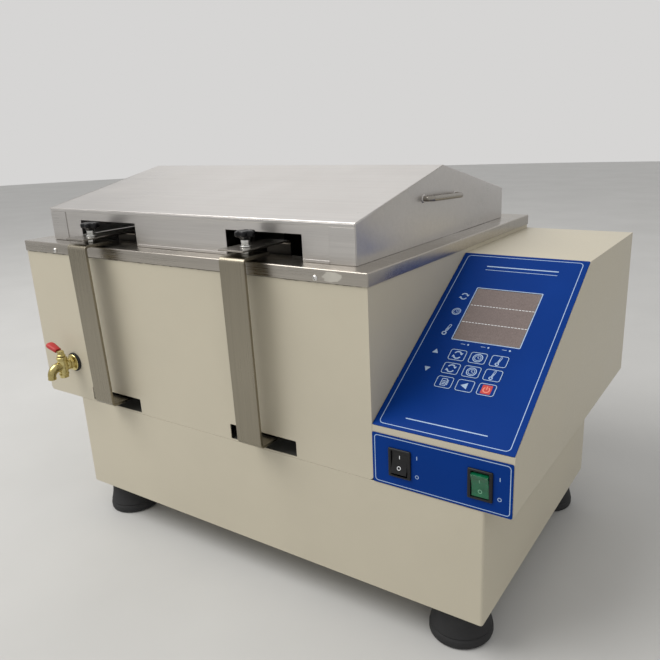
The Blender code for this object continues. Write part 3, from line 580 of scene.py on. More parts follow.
def hexagon(radius, low, high, chamfer=0.8):
    """Hexagonal nut turned into a prism with chamfered ends."""
    rim = radius * math.cos(math.pi / 6)
    nut = prism(circle(0, 0, radius, 6), low, high)
    cone = turned(
        [(0, low), (rim - chamfer * 0.2, low), (radius + 0.2, low + chamfer), (radius + 0.2, high - chamfer),
         (rim - chamfer * 0.2, high), (0, high)]
    )
    return combined(nut, [cone], "INTERSECT")


def swept(path, radii, sides=20):
    """Round bar along a path; radii is one radius or one for each point."""
    points = [Vector(p) for p in path]
    if not isinstance(radii, (list, tuple)):
        radii = [radii] * len(points)
    tangent = (points[1] - points[0]).normalized()
    across = tangent.orthogonal().normalized()
    rings = []
    for i, point in enumerate(points):
        before = points[max(i - 1, 0)]
        after = points[min(i + 1, len(points) - 1)]
        heading = (after - before).normalized()
        across = tangent.rotation_difference(heading) @ across
        tangent = heading
        up = tangent.cross(across)
        ring = []
        for k in range(sides):
            angle = 2 * math.pi * k / sides
            ring.append(point + (across * math.cos(angle) + up * math.sin(angle)) * radii[i])
        rings.append(ring)
    return skinned(rings)


def bent(path, thickness, low_x, high_x):
    """Flat bar bent along a (Y, Z) centre path, as wide as low_x to high_x."""
    points = [Vector(p) for p in path]
    rings = []
    for i, point in enumerate(points):
        before = (point - points[i - 1]).normalized() if i else (points[1] - point).normalized()
        after = (points[i + 1] - point).normalized() if i + 1 < len(points) else before
        normal = Vector((-(before + after).y, (before + after).x)).normalized()
        reach = thickness / 2 / max(0.2, normal.dot(Vector((-before.y, before.x))))
        upper = point + normal * reach
        lower = point - normal * reach
        rings.append([(low_x, *upper), (high_x, *upper), (high_x, *lower), (low_x, *lower)])
    return skinned(rings)


def circle(x, y, radius, points=32):
    turns = [2 * math.pi * (i + 0.5) / points for i in range(points)]
    return [(x + radius * math.cos(t), y + radius * math.sin(t)) for t in turns]


def rectangle(low, high, radius, steps=5):
    """Rectangle outline with round corners, from its two corner points."""
    corners = (
        (high[0] - radius, high[1] - radius, 0),
        (low[0] + radius, high[1] - radius, 90),
        (low[0] + radius, low[1] + radius, 180),
        (high[0] - radius, low[1] + radius, 270),
    )
    outline = []
    for x, y, start in corners:
        for i in range(steps + 1):
            turn = math.radians(start + 90 * i / steps)
            outline.append((x + radius * math.cos(turn), y + radius * math.sin(turn)))
    return outline


def filleted(points, radius, steps=8):
    """Open path whose inner corners are arcs of the radius."""
    points = [Vector(p) for p in points]
    path = [points[0]]
    for before, corner, after in zip(points, points[1:], points[2:]):
        back = (before - corner).normalized()
        on = (after - corner).normalized()
        half = back.angle(on) / 2
        middle = corner + (back + on).normalized() * (radius / math.sin(half))
        reach = radius / math.tan(half)
        first = corner + back * reach - middle
        last = corner + on * reach - middle
        whole = first.angle(last)
        for i in range(steps + 1):
            share = i / steps
            mixed = first * math.sin((1 - share) * whole) + last * math.sin(share * whole)
            path.append(middle + mixed.normalized() * radius)
    path.append(points[-1])
    return path


def piece(name, bm, paint, body, place=UP, edge=0.0, replaces=(), angle=38.0):
    """Shape in millimetres as a finished piece that rides on a body; edge is the width of its soft edges."""
    bm.transform(CASING @ place)
    mesh = bpy.data.meshes.new(name)
    bm.to_mesh(mesh)
    bm.free()
    mesh.shade_smooth()
    mesh.set_sharp_from_angle(angle=math.radians(angle))
    made = bpy.data.objects.new(name, mesh)
    bpy.context.scene.collection.objects.link(made)
    mesh.materials.append(PAINTS[paint])
    if edge:
        soften(made, edge, angle)
    if replaces:
        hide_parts(*replaces)
    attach(made, body)
    return made


def repaint(made, paint, chosen):
    """Second paint on the faces whose middle, in millimetres, passes the test."""
    made.data.materials.append(PAINTS[paint])
    for face in made.data.polygons:
        face.material_index = int(chosen(CASING.inverted() @ face.center))


def soften(obj, edge, angle=38.0):
    """Rounds the sharp edges by a width in millimetres."""
    bevel = obj.modifiers.new("soft_edges", "BEVEL")
    bevel.width = edge * MM
    bevel.segments = 2
    bevel.limit_method = "ANGLE"
    bevel.angle_limit = math.radians(angle)
    bevel.harden_normals = True
    return obj


# --- stage, light and camera


def make_camera():
    """Camera above and to the right of the front, with the picture's centre a little off its axis."""
    spot = CASING @ Vector((874.6, -515.8, 346.4))
    data = bpy.data.cameras.new("camera")
    data.sensor_width = 36.0
    data.lens = 36.077
    data.shift_x = -0.0452
    data.shift_y = 0.0065
    data.clip_start = 0.01
    camera = bpy.data.objects.new("camera", data)
    yaw = 0.5755
    pitch = 0.2988
    roll = 0.03564
    turn = Matrix.Rotation(yaw, 4, "Z") @ Matrix.Rotation(math.pi / 2 - pitch, 4, "X")
    camera.matrix_world = Matrix.Translation(spot) @ turn @ Matrix.Rotation(-roll, 4, "Z")
    bpy.context.scene.collection.objects.link(camera)
    bpy.context.scene.camera = camera


def area_light(name, spot, target, size, power, colour=(1.0, 1.0, 1.0)):
    data = bpy.data.lights.new(name, "AREA")
    data.shape = "DISK"
    data.size = size
    data.energy = power
    data.color = colour
    lamp = bpy.data.objects.new(name, data)
    lamp.location = spot
    heading = Vector(target) - Vector(spot)
    lamp.rotation_euler = heading.to_track_quat("-Z", "Y").to_euler()
    bpy.context.scene.collection.objects.link(lamp)


def make_stage():
    """Pale round floor under a pale sky, a soft key from the front left and a weak light from the rear."""
    floor = bmesh.new()
    bmesh.ops.create_circle(floor, cap_ends=True, segments=96, radius=9.0)
    mesh = bpy.data.meshes.new("floor")
    floor.to_mesh(mesh)
    floor.free()
    made = bpy.data.objects.new("floor", mesh)
    s = Surface("floor", (0.53, 0.53, 0.52), 0.7)
    mottle = s.noise(3.0, 4.0)
    s.drive("Base Color", s.tint(mottle, (0.51, 0.51, 0.50), (0.55, 0.55, 0.54)))
    mesh.materials.append(s.material)
    bpy.context.scene.collection.objects.link(made)

    world = bpy.data.worlds.new("studio")
    bpy.context.scene.world = world
    world.use_nodes = True
    sky = world.node_tree.nodes["Background"]
    sky.inputs["Color"].default_value = (0.96, 0.95, 0.94, 1.0)
    sky.inputs["Strength"].default_value = 0.70
    area_light("key", (-1.2, -1.3, 2.6), (0, 0, 0.25), 2.2, 62.0, (1.0, 0.985, 0.96))
    area_light("back", (-1.7, 1.9, 2.3), (0, 0, 0.4), 2.4, 5.0, (1.0, 0.985, 0.97))
    bpy.context.scene.view_settings.view_transform = "Standard"


# --- painted shells and feet


def make_base():
    shell = sheet_round(cube(*span("base_shell")), SHEET, BASE_R, 6, along(2), lambda n: abs(n.z) > 0.9)
    piece("base_housing", shell, "beige_paint", "housing", edge=0.3, replaces=["base_shell"])

    for foot in ("foot_front_left", "foot_front_right", "foot_rear_left", "foot_rear_right"):
        make_foot(foot)


def make_foot(node):
    """Rubber foot: a flared body, a groove and a wide bead at the ground."""
    low, high = span(node)
    middle = (low + high) / 2
    ground = low.z
    top = high.z
    profile = [
        (0, top), (28.6, top), (29.4, top - 0.8), (29.6, top - 10), (30.6, top - 19), (32.6, top - 28),
        (33.6, top - 31), (33.0, top - 32), (33.0, top - 33.2), (34.1, top - 34.2), (34.6, top - 36),
        (34.6, ground + 3.4), (34.0, ground + 1.6), (32.4, ground + 0.4), (30.0, ground), (0, ground),
    ]
    piece(f"rubber_{node}", turned(profile, 72), "black_rubber", "housing", moved(middle.x, middle.y, 0),
          replaces=[node])


def make_casing():
    shell = sheet_round(cube(CASING_LOW, CASING_HIGH), SHEET, CASING_R, 6,
                        lambda e: max(v.co.z for v in e.verts) < 1 and along(1)(e), lambda n: n.z > 0.9)
    cutters = []
    for x in ARM_X.values():
        slot = cube((x - SLOT_W / 2, -9, SLOT_Z[0]), (x + SLOT_W / 2, DEPTH + 9, SLOT_Z[1]))
        cutters.append(round_edges(slot, 1.2, 3, along(1)))
    cutters.append(turned_by(prism(circle(TAP_X, TAP_Z, 6.9), -9, 9), FRONT))
    shell = combined(shell, cutters, "DIFFERENCE")
    casing = piece("upper_casing", shell, "beige_paint", "housing", edge=0.25, replaces=["tank_casing"])
    # The inner faces get the near-black paint: painted shade for the inside of the casing seen through the
    # slots.
    repaint(casing, "grey_primer", lambda p: all(1.0 < (p - CASING_LOW)[i] and (CASING_HIGH - p)[i] > 1.0
                                                 for i in range(3)))


def make_control_box():
    low, high = BOX_LOW.z, BOX_HIGH.z
    outline = [(0, low), (0, PANEL_Z), (PANEL_RUN, high), (DEPTH, high), (DEPTH, low)]
    left = BOX_LOW.x
    shell = sheet_round(turned_by(prism(outline, left, BOX_HIGH.x), SIDE), SHEET, FOLD_R, 6,
                        lambda e: min(v.co.x for v in e.verts) > left + 1 and folded(e),
                        lambda n: n.x < -0.9)
    cutters = [
        turned_by(cube((WINDOW_X[0], WINDOW_S[0], -6), (WINDOW_X[1], WINDOW_S[1], 6)), PANEL),
        turned_by(cube((*KEY_FIELD[0], -6), (*KEY_FIELD[1], 6)), PANEL),
        cube((INLET_X - 14, DEPTH - 6, SOCKET_Z - 10), (INLET_X + 14, DEPTH + 6, SOCKET_Z + 10)),
        turned_by(prism(circle(FUSE_X, SOCKET_Z, 6.5), -DEPTH - 6, 6 - DEPTH), FRONT),
    ]
    wide, tall = SWITCH_HOLE
    for x in SWITCH_X.values():
        cutters.append(cube((x - wide, -6, SWITCH_Z - tall), (x + wide, 6, SWITCH_Z + tall)))
    shell = combined(shell, cutters, "DIFFERENCE")
    piece("control_housing", shell, "beige_paint", "housing", edge=0.25, replaces=["control_box"], angle=24)


# --- steel rim and tank fittings


def make_rim():
    cap = sheet_round(cube(RIM_LOW, RIM_HIGH), RIM_SHEET, 1.3, 4,
                      lambda e: max(v.co.z for v in e.verts) > RIM_LOW.z + 1, lambda n: n.z < -0.9)
    low = (TANK_WALL, TANK_WALL + 0.1)
    high = (CASING_HIGH.x - TANK_WALL, rear(TANK_WALL + 0.1))
    mouth = prism(rectangle(low, high, TANK_CORNER_R, 8), RIM_HIGH.z - 5, RIM_HIGH.z + 5)
    cap = combined(cap, [mouth], "DIFFERENCE")
    piece("rim_cap_sheet", cap, "rim_steel", "housing", edge=0.2, replaces=["rim_cap"])

    inner = rectangle((low[0] + 1, low[1] + 1), (high[0] - 1, high[1] - 1), TANK_CORNER_R - 1, 8)
    lip = flat([rectangle(low, high, TANK_CORNER_R, 8), inner], RIM_HIGH.z - 6, RIM_HIGH.z - 0.1)
    piece("rim_lip", lip, "rim_steel", "housing", edge=0.3)

    for end, y in (("front", RIM_LOW.y), ("rear", RIM_HIGH.y)):
        for side, x in RIM_SCREW_X.items():
            turn = FRONT if end == "front" else REAR
            pan_screw(f"rim_screw_{end}_{side}", moved(x, y, RIM_SCREW_Z, turn), 3.4)
    make_sealant()
    make_residue()


def pan_screw(name, place, radius, body="housing", paint="wire_steel"):
    """Pan-head screw with a cross recess."""
    tall = radius * 0.55
    head = turned(
        [(0, tall), (radius * 0.45, tall * 0.97), (radius * 0.8, tall * 0.72), (radius * 0.97, tall * 0.35),
         (radius, 0.15), (radius, -0.4), (0, -0.4)], 32
    )
    arm = radius * 0.52
    slit = radius * 0.13
    bars = [
        cube((-arm, -slit, tall * 0.35), (arm, slit, tall + 1)),
        cube((-slit, -arm, tall * 0.35), (slit, arm, tall + 1)),
    ]
    head = combined(head, bars, "DIFFERENCE")
    head.transform(Matrix.Rotation(math.radians(25), 4, "Z"))
    piece(name, head, paint, body, place, edge=0.08)


def make_sealant():
    """Ragged bead of sealant that shows under the rim's skirt."""
    rng = random.Random(5)
    start = 6.0
    length = CASING_HIGH.x - 2 * start
    steps = 130
    for name, y in (("front", -0.4), ("rear", DEPTH + 0.4)):
        path = []
        radii = []
        for i in range(steps + 1):
            path.append((start + length * i / steps, y, RIM_LOW.z + 0.1 + rng.uniform(-0.25, 0.2)))
            radii.append(0.62 + rng.uniform(-0.15, 0.3))
        piece(f"rim_sealant_{name}", swept(path, radii, 8), "sealant", "housing")


def make_residue():
    """Leftover of the sheet's protective film on the rim's skirt, beside its right screw."""
    rng = random.Random(11)
    points = 26
    outline = []
    for i in range(points):
        turn = 2 * math.pi * i / points
        swell = 1 + rng.uniform(-0.16, 0.16)
        outline.append((511 + 11.5 * swell * math.cos(turn), 211.4 + 5.2 * swell * math.sin(turn)))
    patch = prism(outline, -RIM_LOW.y - 0.05, -RIM_LOW.y + 0.12)
    piece("film_residue_patch", patch, "film_residue", "housing", FRONT)


def make_tank_fittings():
    """Heating tube and probe with their wall nuts."""
    y_front, y_rear, z = 150.0, 302.0, 58.0
    probe_y, probe_z = 226.0, 64.0
    corners = [(533, y_front, z), (110, y_front, z), (110, y_rear, z), (533, y_rear, z)]
    tube = swept(filleted(corners, 40, 12), 4.5)
    piece("heating_tube", tube, "tank_steel", "housing", replaces=["heater"])
    probe = swept([(x, probe_y, probe_z) for x in (533, 434, 431, 430)], [3, 3, 2.4, 1])
    piece("probe_tube", probe, "wire_steel", "housing", replaces=["temperature_probe"])
    turn = Matrix.Rotation(-math.pi / 2, 4, "Y")
    nuts = (("front", y_front, z, 9.5), ("rear", y_rear, z, 9.5), ("probe", probe_y, probe_z, 7.5))
    for name, y, height, radius in nuts:
        bore = prism(circle(0, 0, radius * 0.5), -3, 9)
        nut = combined(hexagon(radius, 0, 6), [bore], "DIFFERENCE")
        piece(f"terminal_nut_{name}", nut, "brass", "housing", moved(504, y, height, turn), edge=0.2)


# --- lid


def make_lid():
    outline = [
        (LID_LOW.y, LID_LOW.z), (LID_LOW.y, EAVE_Z), (RIDGE_Y, LID_HIGH.z), (LID_HIGH.y, EAVE_Z),
        (LID_HIGH.y, LID_LOW.z),
    ]
    sheet = sheet_round(turned_by(prism(outline, LID_LOW.x, LID_HIGH.x), SIDE), LID_SHEET, LID_FOLD_R, 6,
                        lambda e: max(v.co.z for v in e.verts) > LID_LOW.z + 1 and folded(e),
                        lambda n: n.z < -0.9)
    notches = []
    for x in ARM_X.values():
        left, right = (x + side for side in NOTCH_SIDES)
        notches.append(cube((left, LID_LOW.y - 9, LID_LOW.z - 9), (right, LID_HIGH.y + 9, NOTCH_TOP)))
    sheet = combined(sheet, notches, "DIFFERENCE")
    piece("lid_sheet", sheet, "lid_steel", "lid", edge=0.2, replaces=["lid"], angle=24)
    for end, wall, out in (("front", LID_LOW.y, -1), ("rear", LID_HIGH.y, 1)):
        make_lid_hems(end, wall, out)
    for side, wall, out in (("left", LID_LOW.x, -1), ("right", LID_HIGH.x, 1)):
        make_lid_handle(side, wall, out)


def make_lid_hems(end, wall, out):
    """Folded strips on a long wall: under the eave, along the foot, and the gables' flanges at its ends."""
    low_x = LID_LOW.x + 0.6
    high_x = LID_HIGH.x - 0.6
    flange = 31.0
    foot = [low_x + flange + 0.4]
    for x in ARM_X.values():
        foot += [x + NOTCH_SIDES[0] - 0.5, x + NOTCH_SIDES[1] + 0.5]
    foot.append(high_x - flange - 0.4)
    ends = (low_x, low_x + flange, high_x - flange, high_x)
    low_z = LID_LOW.z + 0.1
    for name, stops, z, thick, edge in (
        ("eave_hem", (low_x, high_x), (EAVE_Z - 4.2, EAVE_Z - 0.9), 0.9, 0.35),
        ("foot_hem", foot, (low_z, LID_LOW.z + 3.0), 0.7, 0.25),
        ("corner_flanges", ends, (low_z, EAVE_Z - 4.5), 0.7, 0.25),
    ):
        strips = [strip_on_wall(x, z, wall, out, thick) for x in zip(stops[::2], stops[1::2])]
        piece(f"lid_{name}_{end}", merged(*strips), "lid_steel", "lid", edge=edge)


def strip_on_wall(x, z, wall, out, thick):
    y = sorted((wall - out * 0.2, wall + out * thick))
    return cube((x[0], y[0], z[0]), (x[1], y[1], z[1]))


def make_lid_handle(side, wall, out):
    """Bow of round bar with a collar at each end and a domed nut inside the gable."""
    bar_x = wall + out * HANDLE_OUT
    front, back = zip(HANDLE_Y, HANDLE_Z)
    root_x = wall - out * 3
    path = filleted([(root_x, *front), (bar_x, *front), (bar_x, *back), (root_x, *back)], 6.5, 10)
    piece(f"lid_bow_{side}", swept(path, HANDLE_R, 24), "hanger_steel", "lid",
          replaces=[f"lid_handle_{side}"])
    turn = Matrix.Rotation(out * math.pi / 2, 4, "Y")
    collar = [(3.2, 0), (5.0, 0), (5.0, 0.6), (4.4, 1.2), (3.2, 1.3)]
    for end, (y, z) in (("front", front), ("rear", back)):
        piece(f"lid_collar_{side}_{end}", turned(collar, 40, closed=True), "lid_steel", "lid",
              moved(wall, y, z, turn), edge=0.1)
        dome = turned([(0, -7.4), (2.4, -6.8), (3.4, -5.4), (3.6, -4.5), (0, -4.5)], 32)
        piece(f"lid_nut_{side}_{end}", merged(hexagon(5.5, -4.6, -1.0), dome), "plated_steel", "lid",
              moved(wall, y, z, turn), edge=0.15)


# --- carriage, hangers and flask rack


def make_carriage():
    for end, at in (("front", lambda y: y), ("rear", rear)):
        for side, x in ARM_X.items():
            make_hanging(end, side, x, at)
    make_tray()
    make_springs()


def make_hanging(end, side, x, at):
    """Arm, hanger strap and their knob and screws on one corner of the carriage."""
    where = f"{end}_{side}"
    arm_top = ARM_TOP[side]
    hanger_top = arm_top + HANGER_RISE
    half = ARM_THICK / 2
    outer = half - ARM_OUT
    low = ARM_LOW + half
    path = filleted([(80, low), (outer, low), (outer, arm_top - half), (ARM_END, arm_top - half)], 4.5)
    arm = bent([(at(y), z) for y, z in path], ARM_THICK, x - ARM_W / 2, x + ARM_W / 2)
    for vert in arm.verts:
        share = (arm_top - vert.co.z) / (arm_top - ARM_LOW)
        vert.co.x += ARM_LEAN[side] * min(1.0, max(0.0, share))
    piece(f"carriage_arm_{where}", bolted(arm, x, at(0)), "arm_steel", "carriage", edge=0.6,
          replaces=[f"arm_{where}"])

    level = hanger_top - HANGER_THICK / 2
    path = filleted([(HANGER_FRONT, level), (LEG_Y, level), (LEG_Y, LEG_LOW)], 4.0)
    strap = bent([(at(y), z) for y, z in path], HANGER_THICK, x - HANGER_W / 2, x + HANGER_W / 2)
    hanger = piece(f"hanger_{where}", bolted(strap, x, at(0)), "hanger_steel", "carriage", edge=0.3)
    # The leg below the top strap gets the near-black steel: painted shade where it hangs in the dark under
    # the lid, behind the rim.
    repaint(hanger, "stained_steel", lambda p: p.z < level - 4)
    spacer = hexagon(5.6, arm_top + 0.1, hanger_top - HANGER_THICK - 0.1, 0.6)
    piece(f"spacer_nut_{where}", spacer, "plated_steel", "carriage", moved(x, at(0), 0), edge=0.12)
    make_knob(where, moved(x, at(0), hanger_top))
    turn = REAR if end == "front" else FRONT
    for name, dx in (("a", -10), ("b", 10)):
        pan_screw(f"tray_screw_{where}_{name}", moved(x + dx, at(54.4), 104, turn), 3.6, "carriage")


def bolted(bar, x, y):
    """Bar with the bolt hole of its knob."""
    return combined(bar, [prism(circle(x, y, BOLT_R), 215, 240)], "DIFFERENCE")


def make_knob(where, place):
    """Star grip on a plated ferrule, with its stud and a washer; heights are above the hanger."""
    def lobes(angle, radius):
        weight = min(1.0, max(0.0, (radius - 5.4) / 4.0))
        return radius * (1 - 0.26 * weight * (0.5 - 0.5 * math.cos(6 * angle)) ** 1.2)

    head = [
        (0, 7.6), (4.8, 7.6), (5.4, 7.9), (5.9, 9.0), (7.0, 10.0), (9.2, 10.7), (10.8, 11.4), (11.15, 12.2),
        (11.15, 15.2), (10.8, 16.1), (10.0, 16.7), (8.6, 17.0), (5.0, 17.0), (4.4, 16.6), (0, 16.5),
    ]
    body = f"knob_{where}"
    piece(f"star_grip_{where}", turned(head, 96, reach=lobes), "knob_plastic", body, place,
          replaces=[body], angle=50)
    ferrule = [
        (0, 1.6), (4.7, 1.6), (5.0, 1.9), (5.0, 3.6), (4.3, 3.9), (4.3, 4.5), (5.0, 4.8), (5.0, 7.2),
        (4.7, 7.5), (0, 7.5),
    ]
    piece(f"knob_ferrule_{where}", turned(ferrule, 40), "plated_steel", body, place)
    washer = [(3.1, 0.3), (6.2, 0.3), (6.4, 0.5), (6.4, 1.2), (6.2, 1.5), (3.1, 1.5)]
    piece(f"knob_washer_{where}", turned(washer, 40, closed=True), "plated_steel", body, place)
    thread = [(0, 1.6)]
    for i in range(11):
        thread += [(3.0, 1.2 - i), (2.6, 0.7 - i)]
    thread.append((0, -9.6))
    piece(f"knob_stud_{where}", turned(thread, 20), "plated_steel", body, place, angle=60)


def make_tray():
    """Tray of the flask rack: a drained sheet box with a rolled top edge."""
    low = (TRAY_X[0], TRAY_Y, TRAY_Z[0])
    high = (TRAY_X[1], rear(TRAY_Y), TRAY_Z[1])
    tray = sheet_round(cube(low, high), SHEET, 2.0, 4, lambda e: min(v.co.z for v in e.verts) < high[2] - 1,
                       lambda n: n.z > 0.9)
    holes = []
    for i in range(7):
        for j in range(6):
            x = low[0] + 50 + i * (high[0] - low[0] - 100) / 6
            y = low[1] + 45 + j * (high[1] - low[1] - 90) / 5
            holes.append(prism(circle(x, y, 6.0, 20), low[2] - 5, low[2] + 5))
    tray = combined(tray, [merged(*holes)], "DIFFERENCE")
    piece("flask_tray", tray, "tank_steel", "carriage", edge=0.2, replaces=["rack_tray"])
    loop = rectangle((low[0] + 0.6, low[1] + 0.6), (high[0] - 0.6, high[1] - 0.6), 2.5, 5)
    path = [(x, y, high[2]) for x, y in (*loop, loop[0])]
    piece("tray_rolled_edge", swept(path, 1.5, 12), "wire_steel", "carriage")


def make_springs():
    """Wire springs stretched across the tray both ways, which hold the flasks."""
    inside_x = (TRAY_X[0] + 2.5, TRAY_X[1] - 2.5)
    inside_y = (TRAY_Y + 2.5, rear(TRAY_Y + 2.5))
    for i in range(5):
        y = inside_y[0] + (i + 1) * (inside_y[1] - inside_y[0]) / 6
        make_spring(f"rack_spring_long_{i + 1}", (inside_x[0], y, 114), (inside_x[1], y, 114))
    for i in range(6):
        x = inside_x[0] + (i + 1) * (inside_x[1] - inside_x[0]) / 7
        make_spring(f"rack_spring_cross_{i + 1}", (x, inside_y[0], 105), (x, inside_y[1], 105))


def make_spring(name, start, end):
    """Coil with straight ends between two points."""
    start = Vector(start)
    end = Vector(end)
    axis = (end - start).normalized()
    across = axis.orthogonal().normalized()
    up = axis.cross(across)
    tail = 12.0
    length = (end - start).length - 2 * tail
    pitch = 3.6
    coil_r = 3.4
    steps = 9
    count = int(length / pitch)
    path = [start, start + axis * (tail - 3)]
    for i in range(count * steps + 1):
        turn = 2 * math.pi * i / steps
        along = start + axis * (tail + length * i / (count * steps))
        path.append(along + (across * math.cos(turn) + up * math.sin(turn)) * coil_r)
    path += [end - axis * (tail - 3), end]
    piece(name, swept(path, 0.55, 5), "wire_steel", "carriage", angle=180)


# --- drain tap


def make_tap():
    on_wall = moved(TAP_X, 0, TAP_Z, FRONT)
    washer = [(6.8, 0.3), (13.0, 0.3), (13.2, 0.9), (13.0, 2.2), (12.4, 2.4), (6.8, 2.4)]
    gasket = turned(washer, 56, closed=True)
    piece("tap_gasket", gasket, "black_rubber", "housing", on_wall, replaces=["tap_washer"])

    neck = [
        (0, -50), (6.4, -50), (6.4, 2.6), (10.6, 2.6), (11.4, 3.1), (11.6, 4.0), (11.0, 4.9), (9.4, 5.5),
        (8.0, 5.8), (7.2, 6.4), (6.6, 9.8), (6.6, 11.0), (7.4, 11.4), (7.4, 13.0), (6.6, 13.5), (6.0, 15.0),
        (6.0, 19.5), (0, 19.5),
    ]
    barrel = [
        (0, 40.2), (6.0, 40.2), (6.6, 41.0), (6.6, 42.6), (6.0, 43.6), (6.4, 46.0), (7.2, 49.5), (7.5, 53.0),
        (7.0, 57.0), (6.0, 60.0), (6.0, 61.4), (6.8, 62.0), (7.1, 62.8), (7.1, 64.6), (6.6, 65.4),
        (5.4, 66.0), (0, 66.0),
    ]
    mouth_y = SPOUT_Y + 0.4
    spout = filleted([(TAP_X, TAP_Y + 3, 53.5), (TAP_X, mouth_y, 52.5), (TAP_X, mouth_y, 40)], 11.0, 14)
    radii = [6.6 - 1.6 * i / (len(spout) - 1) for i in range(len(spout))]
    shapes = [turned_by(turned(barrel, 48), moved(TAP_X, TAP_Y, 0)), swept(spout, radii, 28)]
    body = combined(turned_by(turned(neck, 48), on_wall), shapes, "UNION")
    piece("tap_casting", body, "brass", "housing", replaces=["tap_body"], angle=32)

    mouth = [(3.9, 38.8), (5.1, 38.8), (5.4, 39.2), (5.5, 40.2), (5.2, 41.2), (3.9, 41.4)]
    piece("tap_mouth", turned(mouth, 40, closed=True), "brass", "housing", moved(TAP_X, mouth_y, 0))
    piece("tap_bottom_nut", hexagon(6.4, 36.6, 40.6), "brass", "housing", moved(TAP_X, TAP_Y, 0), edge=0.25)
    piece("tap_neck_nut", hexagon(8.8, 5.9, 10.2), "brass", "housing", on_wall, edge=0.25)
    make_tap_lever()


def squared(share):
    """A sine or cosine changed so that a round section comes out a little square."""
    return math.copysign(abs(share) ** 0.75, share)


def make_tap_lever():
    hub = [
        (0, 66.4), (5.0, 66.4), (5.6, 66.9), (5.6, 68.6), (4.6, 69.4), (4.3, 71.0), (4.5, 72.8), (4.0, 74.2),
        (2.8, 74.9), (0, 75.0),
    ]
    lever_place = moved(TAP_X, TAP_Y, 72, Matrix.Rotation(math.radians(20), 4, "Y"))
    bar = prism(rectangle((-17, -3.6), (2, 3.6), 1.5), -1.25, 1.25)
    hub = turned_by(turned(hub, 40), moved(TAP_X, TAP_Y, 0))
    lever = combined(hub, [turned_by(bar, lever_place)], "UNION")
    piece("tap_hub", lever, "brass", "tap_handle", edge=0.2, replaces=["tap_lever"])
    sections = [
        (-5.2, 4.4, 2.9), (-5.8, 4.8, 3.2), (-10, 5.1, 3.4), (-16, 5.7, 3.6), (-21, 6.2, 3.6),
        (-24, 5.4, 3.2), (-25.4, 3.8, 2.3), (-25.8, 1.4, 0.8),
    ]
    turns = [2 * math.pi * k / 32 for k in range(32)]
    rings = [
        [(x, wide * squared(math.cos(turn)), tall * squared(math.sin(turn))) for turn in turns]
        for x, wide, tall in sections
    ]
    piece("lever_sleeve", skinned(rings), "red_plastic", "tap_handle", lever_place, replaces=["tap_sleeve"],
          angle=50)


# --- panel, keys and their printed marks


def ring(x, y, outer, inner, points=40):
    return [circle(x, y, outer, points), circle(x, y, inner, points)]


def band(x, y, radius, width, start, end, steps=14):
    """Arc stroke between two angles in degrees."""
    turns = [math.radians(start + (end - start) * i / steps) for i in range(steps + 1)]
    outer, inner = (
        [(x + r * math.cos(turn), y + r * math.sin(turn)) for turn in turns]
        for r in (radius + width / 2, radius - width / 2)
    )
    return outer + inner[::-1]


def stroke(start, end, width):
    """Straight stroke between two points."""
    start = Vector(start)
    end = Vector(end)
    off = (end - start).normalized().orthogonal() * width / 2
    return [tuple(p) for p in (start + off, end + off, end - off, start - off)]


def frame_line(low, high, radius, width):
    """Outline of a rounded rectangle as a line of the width, inside the two corners."""
    inner_low = (low[0] + width, low[1] + width)
    inner_high = (high[0] - width, high[1] - width)
    return [rectangle(low, high, radius), rectangle(inner_low, inner_high, max(0.2, radius - width))]


def cycle_mark(x, y, size):
    """Two curved arrows that chase each other."""
    r = size * 0.36
    w = size * 0.13
    loops = [band(x, y + size * 0.08, r, w, 35, 160), band(x, y - size * 0.08, r, w, 215, 340)]
    for sign in (1, -1):
        tip = (x + sign * r * 1.15, y + sign * size * 0.02)
        loops.append([
            tip,
            (tip[0] + sign * size * 0.12, tip[1] + sign * size * 0.30),
            (tip[0] - sign * size * 0.24, tip[1] + sign * size * 0.20),
        ])
    return loops


def clock_mark(x, y, size):
    """Dial with an inner ring and two hands."""
    r = size / 2
    loops = ring(x, y, r, r * 0.82) + ring(x, y, r * 0.66, r * 0.54)
    loops.append(stroke((x, y - 0.02 * size), (x, y + 0.2 * size), size * 0.07))
    loops.append(stroke((x + 0.05 * size, y - 0.05 * size), (x + 0.17 * size, y - 0.05 * size), size * 0.07))
    return loops


def thermometer_mark(x, y, size):
    """Leaning thermometer: a stem outline that ends in a round bulb."""
    lean = Matrix.Translation((x, y, 0)) @ Matrix.Rotation(math.radians(-14), 4, "Z")
    stem_low = (-size * 0.09, -size * 0.14)
    stem_high = (size * 0.09, size * 0.5)
    loops = frame_line(stem_low, stem_high, size * 0.085, size * 0.045)
    loops += ring(0, -size * 0.32, size * 0.17, size * 0.09, 24)
    loops.append(stroke((0, -size * 0.26), (0, size * 0.2), size * 0.05))
    return [[tuple((lean @ Vector((px, py, 0)))[:2]) for px, py in loop] for loop in loops]


def sheet_mark(x, y, size):
    """Page with ruled lines and a second page behind it."""
    w = size * 0.3
    h = size * 0.4
    loops = frame_line((x - w, y - h), (x + w * 0.8, y + h), size * 0.05, size * 0.07)
    for k in (-0.5, -0.1, 0.3):
        loops.append(stroke((x - w * 0.6, y + h * k), (x + w * 0.4, y + h * k), size * 0.08))
    loops.append(stroke((x + w * 1.05, y - h * 0.7), (x + w * 1.05, y + h * 0.7), size * 0.07))
    return loops


def power_mark(x, y, size):
    r = size * 0.34
    return [band(x, y, r, size * 0.12, 125, 415, 24), stroke((x, y), (x, y + r * 1.35), size * 0.12)]


def triangle_mark(x, y, size, turn):
    points = []
    for k in range(3):
        angle = math.radians(turn + 120 * k)
        points.append((x + size * 0.58 * math.cos(angle), y + size * 0.58 * math.sin(angle)))
    return [points]


def printed(name, loops, base, paint, body, place):
    """Ink on a surface at local height base."""
    piece(name, flat(loops, base - 0.05, base + 0.05), paint, body, place)


